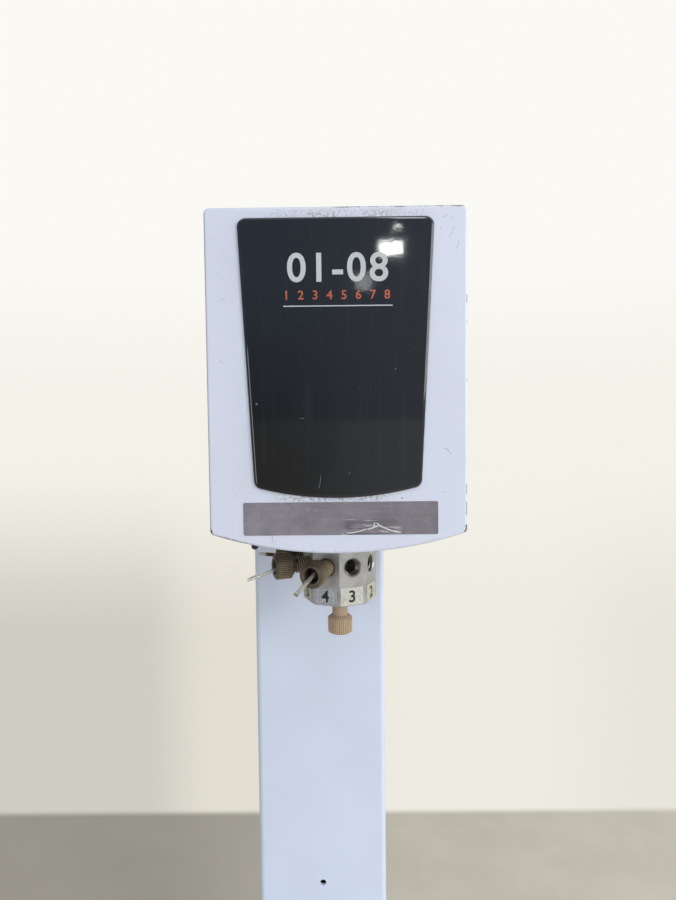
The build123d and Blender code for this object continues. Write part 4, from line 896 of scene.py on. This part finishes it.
for name, out, shape, head, height, shank in (
        ("cover_screws", outward_x, pan_head, 2.75, 1.8, 1.5),
        ("column_side_screws", outward_x, pan_head, 2.75, 1.8, 1.5),
        ("rear_cover_screws", backward, pan_head, 2.75, 1.8, 1.5),
        ("floor_screws", up_or_down, pan_head, 3.6, 2.4, 2.0),
        ("foot_screws", up_or_down, pan_head, 3.6, 2.0, 2.0),
        ("pillar_screws", up_or_down, pan_head, 2.75, 1.8, 1.5),
        ("socket_screws", backward, jack_head, 2.47, 4.5, 1.5)):
    gathered = bmesh.new()
    for order, (spot, way, length) in enumerate(screw_spots(name, out)):
        screw = shape(head * mm, height * mm, shank * mm, length)
        turn = Matrix.Rotation(radians(17 + 41 * order), 4, "Z")
        screw.transform(Matrix.Translation(spot) @ way.to_track_quat("Z", "Y").to_matrix().to_4x4() @ turn)
        gathered.from_mesh(screw)
    keep(f"headed_{name}", finished(gathered, name, sharp=32), plated, "root", [name])


# ---------------------------------------------------------------- Camera
# Its eye is level with the lower half of the head and looks about three degrees down. It is
# turned aside and rolled by less than a degree.
camera_data = bpy.data.cameras.new("camera")
camera_data.sensor_width = 36.0
camera_data.lens = 25.6
camera_data.clip_start = 0.01
camera = new_object("camera", camera_data)
yaw, pitch, roll = radians(0.35), radians(3.18), radians(-0.605)
ahead = Vector((-sin(yaw) * cos(pitch), cos(yaw) * cos(pitch), -sin(pitch)))
level_right = Vector((cos(yaw), sin(yaw), 0))
level_up = level_right.cross(ahead)
right = level_right * cos(roll) + level_up * sin(roll)
up = level_up * cos(roll) - level_right * sin(roll)
camera.matrix_world = Matrix.Translation((1.44 * mm, -241.2 * mm, 379.7 * mm)) @ Matrix(
    (right, up, -ahead)).transposed().to_4x4()
bpy.context.scene.camera = camera


# ---------------------------------------------------------------- Lights, bench and backdrop
# Broad lamps at both sides of the viewer, the right ones stronger, small ones high behind the
# viewer that show as glints in the panel and its rim, and an even sky.
def area_lamp(name, spot, target, size, power, colour=(1, 1, 1)):
    """Soft lamp `size` wide and high, aimed at a point."""
    lamp = bpy.data.lights.new(name, "AREA")
    lamp.shape = "RECTANGLE"
    lamp.size, lamp.size_y = size
    lamp.energy = power
    lamp.color = colour
    holder = new_object(name, lamp)
    holder.location = spot
    holder.rotation_euler = (Vector(target) - Vector(spot)).to_track_quat("-Z", "Y").to_euler()


area_lamp("key", (0.80, -0.85, 0.60), (0, 0, 0.33), (0.45, 0.45), 4.6, (1.0, 0.985, 0.96))
area_lamp("side", (0.85, -0.10, 0.55), (0, 0.03, 0.33), (0.35, 0.35), 2.4, (1.0, 0.99, 0.97))
area_lamp("fill", (-0.60, -1.25, 0.30), (0, 0, 0.30), (0.45, 0.45), 3.1, (0.95, 0.97, 1.0))
area_lamp("glint", (0.113, -1.222, 0.740), (0.018, -0.022, 0.435), (0.044, 0.026), 0.20)
area_lamp("glint_high", (0.126, -1.222, 0.786), (0.021, -0.022, 0.442), (0.012, 0.005), 0.008)
area_lamp("glint_low", (0.054, -1.222, 0.669), (0.010, -0.022, 0.424), (0.034, 0.034), 0.016)
area_lamp("rim_glint", (0.160, -1.000, 1.300), (0.027, -0.022, 0.445), (0.110, 0.900), 3.0)

world = bpy.data.worlds.new("studio")
bpy.context.scene.world = world
world.use_nodes = True
world.node_tree.nodes.clear()
seen = add("ShaderNodeLightPath", tree=world.node_tree).outputs
shown = strongest([seen[f"Is {kind} Ray"] for kind in ("Glossy", "Transmission", "Camera")])
way = add("ShaderNodeTexCoord", tree=world.node_tree).outputs["Generated"]
x, y, z = axes(way)
horizon = "F4F1E9"
sky = blend_colours(fade(z, 0.0, 0.26), horizon, "FBF9F4")
behind_viewer = fade(vector_maths("DOT_PRODUCT", way, (0, -0.99, 0.12)), 0.72, 0.94)
dim_side = fade(x, -0.35, -0.80, 0.0, 0.85)
room = times(maths("MAXIMUM", behind_viewer, dim_side), seen["Is Glossy Ray"])
daylight = blend_colours(fade(x, -0.9, 0.9), (0.42, 0.435, 0.455), (0.72, 0.745, 0.775))
soft = add("ShaderNodeBackground", {"Color": daylight})
backdrop = add("ShaderNodeBackground", {"Color": blend_colours(room, sky, "5C6068")})
mixed = add("ShaderNodeMixShader", {0: shown, 1: soft.outputs[0], 2: backdrop.outputs[0]})
add("ShaderNodeOutputWorld", {"Surface": mixed.outputs[0]})

bench = bmesh.new()
bmesh.ops.create_grid(bench, x_segments=1, y_segments=1, size=40.0)
floor = new_object("bench", finished(bench, "bench"))
bench_finish, shader, where = new_finish("Bench top")
x, y, z = axes(where)
# Painted shade: the bench top is darker towards the left.
counter = blend_colours(fade(x, -0.16, 0.05), "A7A194", "CCC6B6")
counter = blend_colours(fade(noise(where, 0.05), 0.35, 0.65, 0.0, 0.25), counter, "B3AD9D")
set_inputs(shader, {"Base Color": counter, "Roughness": 0.6})
eye_back, eye_high = 0.241, 0.38
away = maths("ADD", y, eye_back)
aside = maths("DIVIDE", x, away)
# Painted shade on the glowing wall: darker lower down and darkest on the left.
shaded_low_wall = blend_colours(fade(aside, -0.33, -0.20), "CFCDC3", "E2DED2")
shaded_low_wall = blend_colours(fade(aside, -0.14, 0.12), shaded_low_wall, "EEEBE1")
shaded_low_wall = blend_colours(fade(aside, 0.30, 0.50), shaded_low_wall, "E8E5DB")
wall_colour = blend_colours(fade(maths("DIVIDE", eye_high, away), 0.05, 0.36), horizon, shaded_low_wall)
wall = add("ShaderNodeEmission", {"Color": wall_colour})
camera_ray = add("ShaderNodeLightPath", tree=bench_finish.node_tree).outputs["Is Camera Ray"]
far = times(fade(vector_maths("LENGTH", where), 0.7, 2.4), camera_ray)
beyond = maths("MAXIMUM", fade(y, 0.345, 0.357), far)
joined = add("ShaderNodeMixShader", {0: beyond, 1: shader.outputs[0], 2: wall.outputs[0]})
set_inputs(bench_finish.node_tree.nodes["Material Output"], {"Surface": joined.outputs[0]})
floor.data.materials.append(bench_finish)
